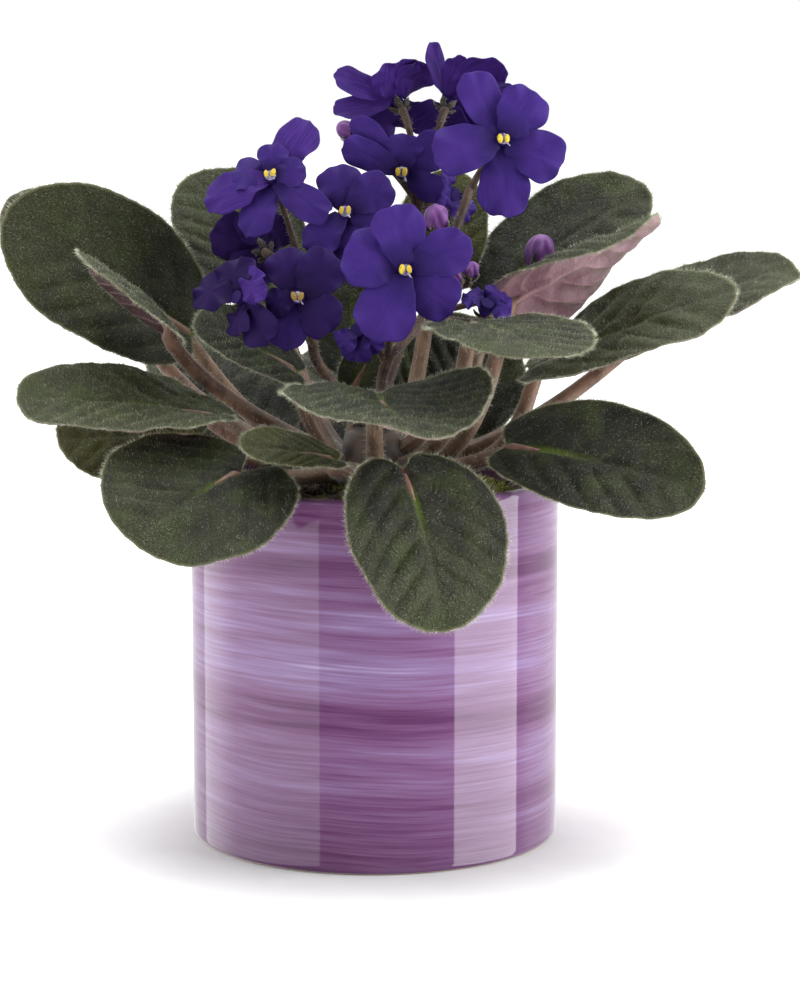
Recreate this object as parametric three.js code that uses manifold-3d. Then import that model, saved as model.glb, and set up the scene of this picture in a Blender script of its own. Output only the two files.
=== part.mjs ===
// A potted african violet: a rosette of velvety leaves and violet flowers in a glazed pot.
// Millimetres, +Z up. The origin is the centre of the pot's flat underside and the front faces -Y.
import * as THREE from 'three';
import Module from 'manifold-3d';

const wasm = await Module();
wasm.setup();

// Pot: a straight glazed cylinder
const POT_RADIUS = 60;
const POT_HEIGHT = 119;
const POT_WALL = 4;
const POT_FLOOR = 6;
const POT_FOOT_CHAMFER = 1.4;
const POT_SIDES = 40;

// Potting soil: fills the pot to just under the rim, mounded towards the plant
const FIT_GAP = 0.3;
const SOIL_AT_WALL = 111;
const SOIL_AT_CROWN = 117;
const HOLE_DEPTH = 12;

// Crown: the short thick stem that every petiole and flower stalk grows from
const CROWN_RADIUS = 12;
const CROWN_TOP = 134;
const CROWN_SIDES = 12;

// Leaf blades and petioles
const BLADE_THICKNESS = 1;
const MIDRIB_DEPTH = 1.3;
const BLADE_SPOKES = 16;
const BLADE_RINGS = 3;
const LOBE_BACK = 5;
const SCALLOP = 0.012;
const PETIOLE_ROOT_HEIGHT = 121;
const PETIOLE_ROOT_RADIUS = 3.2;
const PETIOLE_TIP_RADIUS = 2.4;
const PETIOLE_SIDES = 6;
const PETIOLE_STEPS = 5;
const PETIOLE_LEVEL_RUN = 0.45;
const PETIOLE_STRAIGHT_RUN = 0.4;
const PETIOLE_FLEX = 0.2;
const PETIOLE_LEAST_RISE = 0.12;

// Flowers and stalks
const PETAL_THICKNESS = 0.8;
const PETAL_START = 1.3;
const PETAL_LAYER = 1.3;
const PETAL_ARCH = 4;
const PETAL_CUP = 0.9;
const PETAL_OVERLAP = 6;
const TUBE_RADIUS = 2.2;
const TUBE_LENGTH = 5;
const ANTHER_RADIUS = 1.25;
const ANTHER_LIFT = 1.95;
const SEPAL_LENGTH = 6;
const SEPAL_COUNT = 5;
const SEPAL_TILT = 0.12;
const CALYX_RADIUS = 1.7;
const CALYX_THICKNESS = 0.9;
const STALK_RADII = [2, 1.4];
const STALK_SIDES = 6;
const PEDICEL_RADII = [1.3, 1.1, 1.1, 1.1, 1.4];
const PEDICEL_SIDES = 5;

const COLOUR = {
  glaze: 0x8f6ca3,
  soil: 0x2c2419,
  petiole: 0x7a5546,
  leaf: 0x3f4c36,
  youngLeaf: 0x5f6b38,
  petal: 0x43308c,
  anther: 0xe6c92e,
  stalk: 0x6b4a33,
  bud: 0x7b3a86,
};

const vec = (p) => new THREE.Vector3(p[0], p[1], p[2]);
const rad = THREE.MathUtils.degToRad;
const mix = (a, b, t) => a + (b - a) * t;

function solid(points, faces) {
  const vertProperties = new Float32Array(points.length * 3);
  points.forEach((p, i) => vertProperties.set([p.x, p.y, p.z], i * 3));
  const triVerts = new Uint32Array(faces.flat());
  return new wasm.Manifold(new wasm.Mesh({ numProp: 3, vertProperties, triVerts }));
}

function geometryOf(body) {
  const mesh = body.getMesh();
  const geometry = new THREE.BufferGeometry();
  const position = new THREE.BufferAttribute(new Float32Array(mesh.vertProperties), 3);
  geometry.setAttribute('position', position);
  geometry.setIndex(new THREE.BufferAttribute(new Uint32Array(mesh.triVerts), 1));
  geometry.computeVertexNormals();
  return geometry;
}

const plant = new THREE.Group();
plant.name = 'potted_african_violet';

function addNode(name, body, colour, roughness) {
  const material = new THREE.MeshStandardMaterial({
    color: colour,
    roughness,
    metalness: 0,
    flatShading: true,
  });
  const mesh = new THREE.Mesh(geometryOf(body), material);
  mesh.name = name;
  plant.add(mesh);
}

function union(bodies) {
  return bodies.reduce((sum, body) => sum.add(body));
}

// A thin closed sheet: an upper face, the same triangles set back below it, and a rim between them
function sheet(upper, lower, faces, rim) {
  const n = upper.length;
  const all = faces.slice();
  faces.forEach(([a, b, c]) => all.push([a + n, c + n, b + n]));
  rim.forEach((i, k) => {
    const j = rim[(k + 1) % rim.length];
    all.push([j, i, i + n]);
    all.push([j, i + n, j + n]);
  });
  return solid([...upper, ...lower], all);
}

// A solid of revolution about Z from [radius, height] pairs that start and end on the axis
function turned(profile, sides) {
  const points = [];
  const faces = [];
  const rows = profile.length;
  points.push(vec([0, 0, profile[0][1]]));
  for (let r = 1; r < rows - 1; r += 1) {
    for (let s = 0; s < sides; s += 1) {
      const angle = (2 * Math.PI * s) / sides;
      const [radius, height] = profile[r];
      points.push(vec([radius * Math.cos(angle), radius * Math.sin(angle), height]));
    }
  }
  points.push(vec([0, 0, profile[rows - 1][1]]));
  const last = points.length - 1;
  const at = (r, s) => 1 + (r - 1) * sides + (s % sides);
  for (let s = 0; s < sides; s += 1) {
    faces.push([0, at(1, s + 1), at(1, s)]);
    for (let r = 1; r < rows - 2; r += 1) {
      faces.push([at(r, s), at(r, s + 1), at(r + 1, s + 1)]);
      faces.push([at(r, s), at(r + 1, s + 1), at(r + 1, s)]);
    }
    faces.push([at(rows - 2, s), at(rows - 2, s + 1), last]);
  }
  return solid(points, faces);
}

// A round stem along a list of points, with a radius at each point
function stem(centres, radii, sides) {
  const points = [];
  const faces = [];
  const count = centres.length;
  let across = null;
  for (let i = 0; i < count; i += 1) {
    const before = centres[Math.max(i - 1, 0)];
    const after = centres[Math.min(i + 1, count - 1)];
    const along = after.clone().sub(before).normalize();
    if (!across) {
      const guide = Math.abs(along.z) < 0.9 ? vec([0, 0, 1]) : vec([1, 0, 0]);
      across = guide.cross(along).normalize();
    }
    across.addScaledVector(along, -across.dot(along)).normalize();
    const third = along.clone().cross(across);
    for (let s = 0; s < sides; s += 1) {
      const angle = (2 * Math.PI * s) / sides;
      const p = centres[i].clone();
      p.addScaledVector(across, radii[i] * Math.cos(angle));
      p.addScaledVector(third, radii[i] * Math.sin(angle));
      points.push(p);
    }
  }
  const at = (i, s) => i * sides + (s % sides);
  for (let i = 0; i < count - 1; i += 1) {
    for (let s = 0; s < sides; s += 1) {
      faces.push([at(i, s), at(i, s + 1), at(i + 1, s + 1)]);
      faces.push([at(i, s), at(i + 1, s + 1), at(i + 1, s)]);
    }
  }
  for (let s = 1; s < sides - 1; s += 1) {
    faces.push([at(0, 0), at(0, s + 1), at(0, s)]);
    faces.push([at(count - 1, 0), at(count - 1, s), at(count - 1, s + 1)]);
  }
  return solid(points, faces);
}

// A smooth run of points through a list of places
function curveThrough(places, steps) {
  const curve = new THREE.CatmullRomCurve3(places, false, 'centripetal');
  return curve.getPoints(steps);
}

// Pot, with a flat underside and a rounded rim
const inner = POT_RADIUS - POT_WALL;
const rimRound = POT_WALL / 2;
const pot = turned(
  [
    [0, 0],
    [POT_RADIUS - POT_FOOT_CHAMFER, 0],
    [POT_RADIUS, POT_FOOT_CHAMFER],
    [POT_RADIUS, POT_HEIGHT - rimRound],
    [POT_RADIUS - rimRound * 0.4, POT_HEIGHT - rimRound * 0.2],
    [POT_RADIUS - rimRound, POT_HEIGHT],
    [inner + rimRound * 0.4, POT_HEIGHT - rimRound * 0.2],
    [inner, POT_HEIGHT - rimRound],
    [inner, POT_FLOOR + POT_FOOT_CHAMFER],
    [inner - POT_FOOT_CHAMFER, POT_FLOOR],
    [0, POT_FLOOR],
  ],
  POT_SIDES,
);
addNode('pot', pot, COLOUR.glaze, 0.2);

// Soil, one solid with a plain hole that the crown stands in
const soilRadius = inner - FIT_GAP;
const holeRadius = CROWN_RADIUS + FIT_GAP;
const holeFloor = SOIL_AT_CROWN - HOLE_DEPTH;
const soil = turned(
  [
    [0, POT_FLOOR + FIT_GAP],
    [soilRadius - POT_FOOT_CHAMFER - FIT_GAP, POT_FLOOR + FIT_GAP],
    [soilRadius, POT_FLOOR + POT_FOOT_CHAMFER + FIT_GAP * 2],
    [soilRadius, SOIL_AT_WALL],
    [mix(soilRadius, holeRadius, 0.35), mix(SOIL_AT_WALL, SOIL_AT_CROWN, 0.6)],
    [holeRadius, SOIL_AT_CROWN],
    [holeRadius, holeFloor],
    [0, holeFloor],
  ],
  POT_SIDES,
);
addNode('potting_soil', soil, COLOUR.soil, 0.95);

// Leaves. base is where the petiole meets the blade, tip is the blade's far end, up is the side
// the green face looks to. In degrees, droop is the bend along the blade, cup the bend across each
// half (above 0 the edge turns up; a pair gives the two halves) and twist the turn from base to tip.
// lobe is how far the blade reaches back past the petiole, root the height of the petiole's root,
// via a place that its petiole bends past, and rings the rows of triangles in a hidden blade.
const LEAVES = [
  {
    base: [-59, 10, 163], tip: [-118, 6, 205],
    width: 50, up: [0.23, -0.9, 0.3], droop: 10, cup: 20, twist: -32,
  },
  {
    base: [-76, 32, 162], tip: [-121, 28, 206],
    width: 42, up: [0.2, -0.8, 0.5], droop: 16, cup: 14,
  },
  {
    base: [-62, -18, 167], tip: [-94, -18, 192],
    width: 38, up: [0.6, 0.12, 0.78], droop: 28, cup: [-40, -18], via: [-34, 14, 132],
  },
  {
    base: [-49, -28, 142], tip: [-112, -34, 148],
    width: 54, up: [0.1, -0.25, 0.97], droop: 14, cup: 7, twist: -18, lobe: 8,
  },
  {
    base: [-57, 5, 131], tip: [-103, -4, 130],
    width: 44, up: [0.1, -0.65, 0.75], droop: 18, cup: 6, young: true,
  },
  {
    base: [-41, -50, 128], tip: [-73, -80, 110],
    width: 61, up: [0.05, -0.6, 0.8], droop: 17, cup: 3, twist: -12, lobe: 11,
  },
  {
    base: [-11, -49, 131], tip: [-41, -58, 136],
    width: 26, up: [0.25, -0.28, 0.93], droop: 15, cup: 5, twist: -12, lobe: 3, young: true,
  },
  {
    base: [-24, -12, 154], tip: [-57, -20, 171],
    width: 32, up: [0.5, -0.39, 0.77], droop: 17, cup: 7, twist: -10, lobe: 4,
  },
  {
    base: [-32, 35, 176], tip: [-61, 46, 214],
    width: 47, up: [0.4, -0.76, 0.52], droop: 11, cup: 6, twist: -6,
  },
  {
    base: [1, -44, 150], tip: [14, -90, 144],
    width: 67, up: [0.19, -0.08, 0.98], droop: 2, cup: [-4, 56], lobe: 15,
  },
  {
    base: [9, -62, 130], tip: [22, -81, 83],
    width: 54, up: [0.42, -0.79, 0.45], droop: 34, cup: 8, lobe: 6,
  },
  {
    base: [41, -30, 133], tip: [103, -45, 121],
    width: 40, up: [-0.07, -0.8, 0.6], droop: 20, cup: 15, twist: 32, lobe: 6,
  },
  {
    base: [50, 0, 153], tip: [116, -10, 180],
    width: 52, up: [-0.41, -0.31, 0.86], droop: 12, cup: 7, twist: 18, lobe: 5,
    via: [45, 0, 114], root: 122,
  },
  {
    base: [80, 14, 160], tip: [139, 20, 186],
    width: 44, up: [-0.3, -0.35, 0.9], droop: 18, cup: 12, via: [34, 6, 121],
  },
  {
    base: [30, -31, 172], tip: [56, -76, 165],
    width: 50, up: [0.05, -0.14, 0.99], droop: 18, cup: 5, via: [27, -17, 124],
  },
  {
    base: [42, -5, 174], tip: [92, 0, 203],
    width: 40, up: [-0.3, 0.8, 0.5], droop: 6, cup: [-90, 30], twist: 54, via: [34, -3, 118],
  },
  {
    base: [37, 30, 174], tip: [91, 37, 210],
    width: 43, up: [-0.3, -0.7, 0.6], droop: 14, cup: 10, via: [28, 20, 119],
  },
  {
    base: [18, 33, 176], tip: [27, 48, 215],
    width: 31, up: [-0.05, -0.9, 0.43], droop: 14, cup: 15, twist: 4, young: true,
  },
  {
    base: [-8, 4, 144], tip: [2, 0, 164],
    width: 15, up: [0, -0.85, 0.5], droop: 16, cup: 20, lobe: 2, root: 130, rings: 2,
  },
  {
    base: [14, -6, 138], tip: [25, -14, 144],
    width: 12, up: [-0.3, -0.3, 0.9], droop: 16, cup: 16, lobe: 2, root: 127, rings: 2,
  },
  {
    base: [-9, 40, 122], tip: [-11, 92, 152],
    width: 46, up: [0.05, -0.5, 0.85], droop: 20, cup: 10, rings: 2,
  },
  {
    base: [21, 43, 131], tip: [37, 53, 164],
    width: 46, up: [0.1, -0.9, 0.3], droop: 20, cup: 10, via: [16, 34, 118], rings: 2,
  },
  {
    base: [-38, 38, 126], tip: [-68, 80, 157],
    width: 50, up: [0.1, -0.6, 0.8], droop: 20, cup: 10, rings: 2,
  },
  {
    base: [-6, 40, 150], tip: [-10, 60, 200],
    width: 40, up: [0, -0.85, 0.5], droop: 14, cup: 12, rings: 2,
  },
];

// The frame of one blade, and the place of a point on its green face or at a depth below it
function bladeSurface(leaf) {
  const base = vec(leaf.base);
  const along = vec(leaf.tip).sub(base);
  const chord = along.length();
  along.normalize();
  const up = vec(leaf.up);
  up.addScaledVector(along, -up.dot(along)).normalize();
  const side = up.clone().cross(along);
  const droop = rad(leaf.droop);
  const length = (chord * droop) / 2 / Math.sin(droop / 2);
  const bend = droop / length;
  const cups = [leaf.cup].flat().map((angle) => rad(angle) / (leaf.width / 2));
  function place(s, t, depth) {
    const slope = droop / 2 - bend * s;
    const run = (Math.sin(droop / 2) - Math.sin(slope)) / bend;
    const rise = (Math.cos(slope) - Math.cos(droop / 2)) / bend;
    const curl = t < 0 ? cups[0] : cups[cups.length - 1];
    const turn = rad(leaf.twist ?? 0) * (s / length - 0.5);
    const lift = (1 - Math.cos(curl * t)) / curl + Math.cos(curl * t) * -depth;
    const away = Math.sin(curl * t) / curl + Math.sin(curl * t) * depth;
    const height = away * Math.sin(turn) + lift * Math.cos(turn);
    const p = base.clone();
    p.addScaledVector(along, run - Math.sin(slope) * height);
    p.addScaledVector(up, rise + Math.cos(slope) * height);
    p.addScaledVector(side, away * Math.cos(turn) - lift * Math.sin(turn));
    return p;
  }
  const startAlong = along.clone().multiplyScalar(Math.cos(droop / 2));
  startAlong.addScaledVector(up, Math.sin(droop / 2));
  const startUp = place(0, 0, -1).sub(place(0, 0, 0)).normalize();
  return { place, length, startAlong, startUp };
}

// Outline radius about the blade's middle: an oval with a notch at the petiole and scallops
function outlineRadius(angle, halfLength, halfWidth, lobe, spoke) {
  const oval = 1 / Math.hypot(Math.cos(angle) / halfLength, Math.sin(angle) / halfWidth);
  const fromNotch = Math.PI - Math.abs(angle > Math.PI ? angle - 2 * Math.PI : angle);
  const notch = (lobe / halfLength) * Math.exp(-((fromNotch / 0.2) ** 2));
  const scallop = spoke % 2 ? SCALLOP : -SCALLOP;
  return oval * (1 - notch + scallop);
}

function blade(leaf) {
  const surface = bladeSurface(leaf);
  const lobe = leaf.lobe ?? LOBE_BACK;
  const halfLength = (surface.length + lobe) / 2;
  const middle = (surface.length - lobe) / 2;
  const halfWidth = leaf.width / 2;
  const rings = leaf.rings ?? BLADE_RINGS;
  const upper = [surface.place(middle, 0, 0)];
  const lower = [surface.place(middle, 0, BLADE_THICKNESS + MIDRIB_DEPTH)];
  for (let ring = 1; ring <= rings; ring += 1) {
    for (let spoke = 0; spoke < BLADE_SPOKES; spoke += 1) {
      const angle = (2 * Math.PI * spoke) / BLADE_SPOKES;
      const edge = outlineRadius(angle, halfLength, halfWidth, lobe, spoke);
      const reach = (edge * ring) / rings;
      const s = middle + reach * Math.cos(angle);
      const t = reach * Math.sin(angle);
      const onRib = spoke % (BLADE_SPOKES / 2) === 0 && ring < rings;
      const rib = onRib ? MIDRIB_DEPTH * (spoke === 0 ? 1 - ring / rings : 1) : 0;
      upper.push(surface.place(s, t, 0));
      lower.push(surface.place(s, t, BLADE_THICKNESS + rib));
    }
  }
  const at = (ring, spoke) => 1 + (ring - 1) * BLADE_SPOKES + (spoke % BLADE_SPOKES);
  const faces = [];
  const rim = [];
  for (let spoke = 0; spoke < BLADE_SPOKES; spoke += 1) {
    faces.push([0, at(1, spoke), at(1, spoke + 1)]);
    for (let ring = 1; ring < rings; ring += 1) {
      faces.push([at(ring, spoke), at(ring + 1, spoke), at(ring + 1, spoke + 1)]);
      faces.push([at(ring, spoke), at(ring + 1, spoke + 1), at(ring, spoke + 1)]);
    }
    rim.push(at(rings, spoke));
  }
  return sheet(upper, lower, faces, rim);
}

// A petiole leaves the crown almost level, rises, and ends just under the blade's notch
function petiole(leaf) {
  const surface = bladeSurface(leaf);
  const foot = surface.place(1, 0, BLADE_THICKNESS);
  const outward = vec([foot.x, foot.y, 0]).normalize();
  const root = outward.clone().multiplyScalar(CROWN_RADIUS * 0.4);
  root.z = leaf.root ?? PETIOLE_ROOT_HEIGHT;
  const first = root.clone().addScaledVector(outward, Math.hypot(foot.x, foot.y) * PETIOLE_LEVEL_RUN);
  if (leaf.via) {
    first.copy(vec(leaf.via));
  }
  const arrive = foot.clone().sub(first).normalize();
  arrive.lerp(surface.startAlong, PETIOLE_FLEX).normalize();
  const rise = arrive.dot(surface.startUp);
  if (rise < PETIOLE_LEAST_RISE) {
    arrive.addScaledVector(surface.startUp, PETIOLE_LEAST_RISE - rise).normalize();
  }
  const spread = Math.sqrt(Math.max(0, 1 - arrive.dot(surface.startUp) ** 2));
  const drop = FIT_GAP + PETIOLE_TIP_RADIUS * spread;
  const end = foot.clone().addScaledVector(surface.startUp, -drop);
  const second = end.clone();
  second.addScaledVector(arrive, -PETIOLE_STRAIGHT_RUN * end.distanceTo(first));
  const path = new THREE.CubicBezierCurve3(root, first, second, end);
  const centres = path.getPoints(PETIOLE_STEPS);
  const radii = centres.map((p, i) => {
    return mix(PETIOLE_ROOT_RADIUS, PETIOLE_TIP_RADIUS, i / PETIOLE_STEPS);
  });
  return stem(centres, radii, PETIOLE_SIDES);
}

const crown = turned(
  [
    [0, holeFloor + FIT_GAP],
    [CROWN_RADIUS, holeFloor + FIT_GAP],
    [CROWN_RADIUS, SOIL_AT_CROWN + 6],
    [CROWN_RADIUS * 0.8, CROWN_TOP],
    [0, CROWN_TOP],
  ],
  CROWN_SIDES,
);
addNode('crown_and_petioles', union([crown, ...LEAVES.map(petiole)]), COLOUR.petiole, 0.75);

LEAVES.forEach((leaf, i) => {
  const number = String(i + 1).padStart(2, '0');
  addNode(`leaf_${number}`, blade(leaf), leaf.young ? COLOUR.youngLeaf : COLOUR.leaf, 0.85);
});

// Flowers. centre is the throat and face the way it looks. Each petal is the place of its tip from
// the centre, its width, and where it isn't flat to the face, its turn about its own length.
const FLOWERS = [
  {
    centre: [41, -12, 228],
    face: [0.08, -0.97, 0.2],
    petals: [[-22, -4, -5, 15], [-11, 2, 21, 12], [10, 1, 15, 15], [19, -2, -8, 15], [1, -6, -24, 15]],
    anthers: true,
  },
  {
    centre: [24, 15, 240],
    face: [0.2, 0.75, 0.6],
    petals: [
      [-6, -9, 18, 7, 55], [4, -9, 15, 8], [17, -10, 12, 14], [22, -3, 5, 11, 20], [12, 7, -9, 12],
      [1, 10, -13, 13], [-12, 7, -8, 11],
    ],
    anthers: true,
  },
  {
    centre: [7, 15, 240],
    face: [-0.35, 0.7, 0.62],
    petals: [
      [-20, -9, 8, 8, 40], [-1, -9, 13, 16], [10, -4, 11, 14], [7, 9, -8, 11], [-9, 4, -13, 12],
      [-21, -6, -3, 7, 55],
    ],
    anthers: true,
  },
  {
    centre: [9, 0, 217],
    face: [-0.15, -0.95, -0.1],
    petals: [[-19, -2, 9, 9], [-16, 0, 17, 8], [1, 0, 12, 11], [14, -2, 10, 12], [12, -3, -8, 9]],
    anthers: true,
  },
  {
    centre: [-33, -8, 216],
    face: [-0.15, -0.85, 0.5],
    petals: [
      [-21, 2, -9, 13], [-13, 3, 2, 12], [1, 4, 10, 9], [12, 8, 18, 12], [11, -2, 2, 9],
      [18, -11, -12, 10], [-7, -10, -17, 11],
    ],
    anthers: true,
  },
  {
    centre: [-9, -14, 205],
    face: [-0.1, -0.95, 0.3],
    petals: [[-12, -4, -12, 11], [-3, 4, 15, 13], [14, 1, 10, 12], [15, -3, -4, 11], [4, -7, -16, 13]],
    anthers: true,
  },
  {
    centre: [10, -45, 189],
    face: [0, -0.98, 0.16],
    petals: [[-10, -5, -21, 17], [-19, -1, 6, 17], [-3, 2, 20, 15], [20, -1, 9, 13], [15, -3, -12, 14]],
    anthers: true,
  },
  {
    centre: [-43, -28, 179],
    face: [-0.6, -0.6, 0.4],
    petals: [[-14, 6, 2, 12], [-3, 4, 12, 15], [9, -4, 6, 12], [9, -7, -13, 12], [-2, -7, -10, 9]],
  },
  {
    centre: [-24, -27, 179],
    face: [0, -0.95, 0.2],
    petals: [[-10, 1, -3, 9], [-5, 3, 15, 13], [12, 2, 13, 14], [12, -3, -9, 13], [-6, -5, -15, 13]],
    anthers: true,
  },
  {
    centre: [26, 12, 209],
    face: [0.5, -0.4, -0.1],
    petals: [[-6, -8, 0, 9], [-3, -4, 8, 9], [7, 6, -9, 9]],
  },
  {
    centre: [36, -18, 176],
    face: [0.2, -0.6, 0.7],
    petals: [[-8, 1, 2, 9], [-3, 5, 5, 9], [5, 4, 4, 9], [8, -2, -1, 8]],
  },
  {
    centre: [-5, -31, 169],
    face: [-0.3, -0.9, 0.1],
    petals: [[-6, -1, -5, 8], [-1, -1, -10, 9], [6, -3, -6, 8]],
  },
  {
    centre: [-37, 2, 192],
    face: [-0.3, 0.85, 0.1],
    petals: [[-15, -4, 7, 14], [-3, 1, 13, 13], [9, 3, 9, 11], [7, 3, -9, 11], [-9, -2, -10, 12]],
    anthers: true,
  },
];

// Petal half-widths, as parts of the width, at places from the throat to the tip
const PETAL_PLACES = [0, 0.42, 0.8, 1];
const PETAL_HALF_WIDTHS = [0.1, 0.43, 0.5, 0.24];

function frameOf(direction) {
  const face = vec(direction).normalize();
  const right = vec([1, 0, 0]).addScaledVector(face, -face.x).normalize();
  const top = face.clone().cross(right);
  if (top.z < 0) {
    top.negate();
  }
  return { face, right, top };
}

// One petal. Neighbours sit at different depths on the throat, so they pass without meeting.
function petal(flower, number) {
  const { face } = frameOf(flower.face);
  const [dx, dy, dz, width, turn] = flower.petals[number];
  const out = vec([dx, dy, dz]);
  const reach = out.length();
  out.normalize();
  const across = face.clone().cross(out).normalize();
  across.applyAxisAngle(out, rad((turn ?? 0) + PETAL_OVERLAP));
  const normal = out.clone().cross(across);
  const last = flower.petals.length - 1;
  const layer = number === last && last % 2 === 0 ? 2 : number % 2;
  const upper = [];
  const lower = [];
  PETAL_PLACES.forEach((place, row) => {
    const distance = mix(PETAL_START, reach, place);
    [-1, 0, 1].forEach((edge) => {
      const p = vec(flower.centre);
      p.addScaledVector(out, distance);
      p.addScaledVector(across, edge * PETAL_HALF_WIDTHS[row] * width);
      p.addScaledVector(face, -layer * PETAL_LAYER);
      p.addScaledVector(normal, PETAL_ARCH * place * (1 - place) - Math.abs(edge) * PETAL_CUP * place);
      upper.push(p);
      lower.push(p.clone().addScaledVector(normal, -PETAL_THICKNESS));
    });
  });
  const rows = PETAL_PLACES.length;
  const faces = [];
  for (let r = 0; r < rows - 1; r += 1) {
    for (let c = 0; c < 2; c += 1) {
      const a = r * 3 + c;
      faces.push([a, a + 3, a + 4]);
      faces.push([a, a + 4, a + 1]);
    }
  }
  const rim = [];
  for (let r = 0; r < rows; r += 1) {
    rim.push(r * 3);
  }
  rim.push((rows - 1) * 3 + 1);
  for (let r = rows - 1; r >= 0; r -= 1) {
    rim.push(r * 3 + 2);
  }
  rim.push(1);
  return sheet(upper, lower, faces, rim);
}

function corolla(flower) {
  const { face } = frameOf(flower.face);
  const centre = vec(flower.centre);
  const front = centre.clone().addScaledVector(face, 0.4);
  const back = centre.clone().addScaledVector(face, -TUBE_LENGTH);
  const tube = stem([back, front], [TUBE_RADIUS * 0.8, TUBE_RADIUS], 6);
  return union([tube, ...flower.petals.map((p, n) => petal(flower, n))]);
}

function ellipsoid(centre, along, radius, halfLength) {
  const ball = new THREE.IcosahedronGeometry(1, 0);
  const position = ball.getAttribute('position');
  const spin = new THREE.Quaternion().setFromUnitVectors(vec([0, 0, 1]), along);
  const points = [];
  const faces = [];
  const seen = new Map();
  const index = [];
  for (let i = 0; i < position.count; i += 1) {
    const p = new THREE.Vector3().fromBufferAttribute(position, i);
    const key = [p.x, p.y, p.z].map((c) => c.toFixed(4)).join(' ');
    if (!seen.has(key)) {
      seen.set(key, points.length);
      p.multiply(vec([radius, radius, halfLength])).applyQuaternion(spin).add(centre);
      points.push(p);
    }
    index.push(seen.get(key));
  }
  for (let i = 0; i < index.length; i += 3) {
    faces.push([index[i], index[i + 1], index[i + 2]]);
  }
  return solid(points, faces);
}

// Two anther lobes joined side by side in front of the throat
function anthers(flower) {
  const { face, right } = frameOf(flower.face);
  const front = vec(flower.centre).addScaledVector(face, ANTHER_LIFT);
  return union(
    [-1, 1].map((hand) => {
      const centre = front.clone().addScaledVector(right, hand * ANTHER_RADIUS * 0.85);
      return ellipsoid(centre, right, ANTHER_RADIUS, ANTHER_RADIUS * 1.1);
    }),
  );
}

// Flower stalks. Each rises from the crown through the places in rise; its pedicels leave from a
// place on it to the back of a flower, and its buds sit on pedicels of their own.
const STALKS = [
  {
    name: 'flower_stalk_front',
    rise: [[3, -5, 134.4], [3, -5, 138], [4, -25, 158], [15, -18, 171], [24, -9, 193], [31, 0, 212]],
    flowers: [
      { number: 1, from: [31, 0, 211] },
      { number: 7, from: [4, -25, 158] },
      { number: 11, from: [15, -18, 171] },
      { number: 12, from: [4, -25, 157] },
    ],
    buds: [
      { number: 3, from: [19, -14, 181] },
      { number: 4, from: [18, -15, 179] },
      { number: 5, from: [22, -11, 189] },
    ],
  },
  {
    name: 'flower_stalk_left',
    rise: [[-5, -1, 134.4], [-5, -1, 138], [-19, -9, 158], [-20, -8, 174], [-24, -7, 189]],
    flowers: [
      { number: 5, from: [-24, -7, 188] },
      { number: 6, from: [-21, -8, 178] },
      { number: 8, from: [-20, -8, 172] },
      { number: 9, from: [-19, -9, 160] },
      { number: 13, from: [-22, -7, 182] },
    ],
    buds: [],
  },
  {
    name: 'flower_stalk_rear',
    rise: [[1, 5, 134.4], [1, 5, 138], [8, 13, 158], [13, 15, 180], [14, 12, 198], [15, 11, 212]],
    flowers: [
      { number: 2, from: [15, 11, 211] },
      { number: 3, from: [14, 12, 204] },
      { number: 4, from: [14, 12, 199] },
      { number: 10, from: [13, 14, 190] },
    ],
    buds: [
      { number: 1, from: [9, 14, 164] },
      { number: 2, from: [14, 12, 206] },
    ],
  },
];

// Buds: centre, the way the bud points, its radius and half its length
const BUDS = [
  { centre: [54, 12, 190], along: [0.25, -0.1, 1], radius: 4.6, half: 6.2 },
  { centre: [-9, 5, 230], along: [-0.7, -0.2, 0.6], radius: 2.8, half: 3.6 },
  { centre: [31, -20, 187], along: [0.2, -0.3, 1], radius: 2.4, half: 2.8 },
  { centre: [26, -22, 185], along: [-0.3, -0.4, 1], radius: 1.9, half: 2.3 },
  { centre: [20, -14, 203], along: [-0.1, -0.5, 0.8], radius: 3.8, half: 4.8 },
];
const BUD_PLACES = [-1, -0.6, 0.1, 0.75, 1];
const BUD_RADII = [0.4, 0.85, 1, 0.65, 0.2];
const BUD_SIDES = 7;

// A star of narrow pointed sepals round the end of a pedicel
function calyx(end, face, right, reach) {
  const top = face.clone().cross(right);
  const centre = end.clone().addScaledVector(face, CALYX_THICKNESS / 2);
  const upper = [centre];
  const faces = [];
  const rim = [];
  const count = SEPAL_COUNT * 2;
  for (let n = 0; n < count; n += 1) {
    const turn = (Math.PI * n) / SEPAL_COUNT;
    const out = n % 2 ? reach : CALYX_RADIUS;
    const p = centre.clone().addScaledVector(right, out * Math.cos(turn));
    p.addScaledVector(top, out * Math.sin(turn));
    upper.push(p.addScaledVector(face, n % 2 ? reach * SEPAL_TILT : 0));
    faces.push([0, 1 + n, 1 + ((n + 1) % count)]);
    rim.push(1 + n);
  }
  const lower = upper.map((p) => p.clone().addScaledVector(face, -CALYX_THICKNESS));
  return sheet(upper, lower, faces, rim);
}

// A thin pedicel that leaves its stalk rising and arrives along the way its flower faces
function pedicel(from, end, face) {
  const start = vec(from);
  const span = start.distanceTo(end);
  const first = start.clone().lerp(end, 0.3);
  first.z += span * 0.12;
  const second = end.clone().addScaledVector(face, -Math.min(12, span * 0.35));
  const path = new THREE.CubicBezierCurve3(start, first, second, end);
  return stem(path.getPoints(PEDICEL_RADII.length - 1), PEDICEL_RADII, PEDICEL_SIDES);
}

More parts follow.
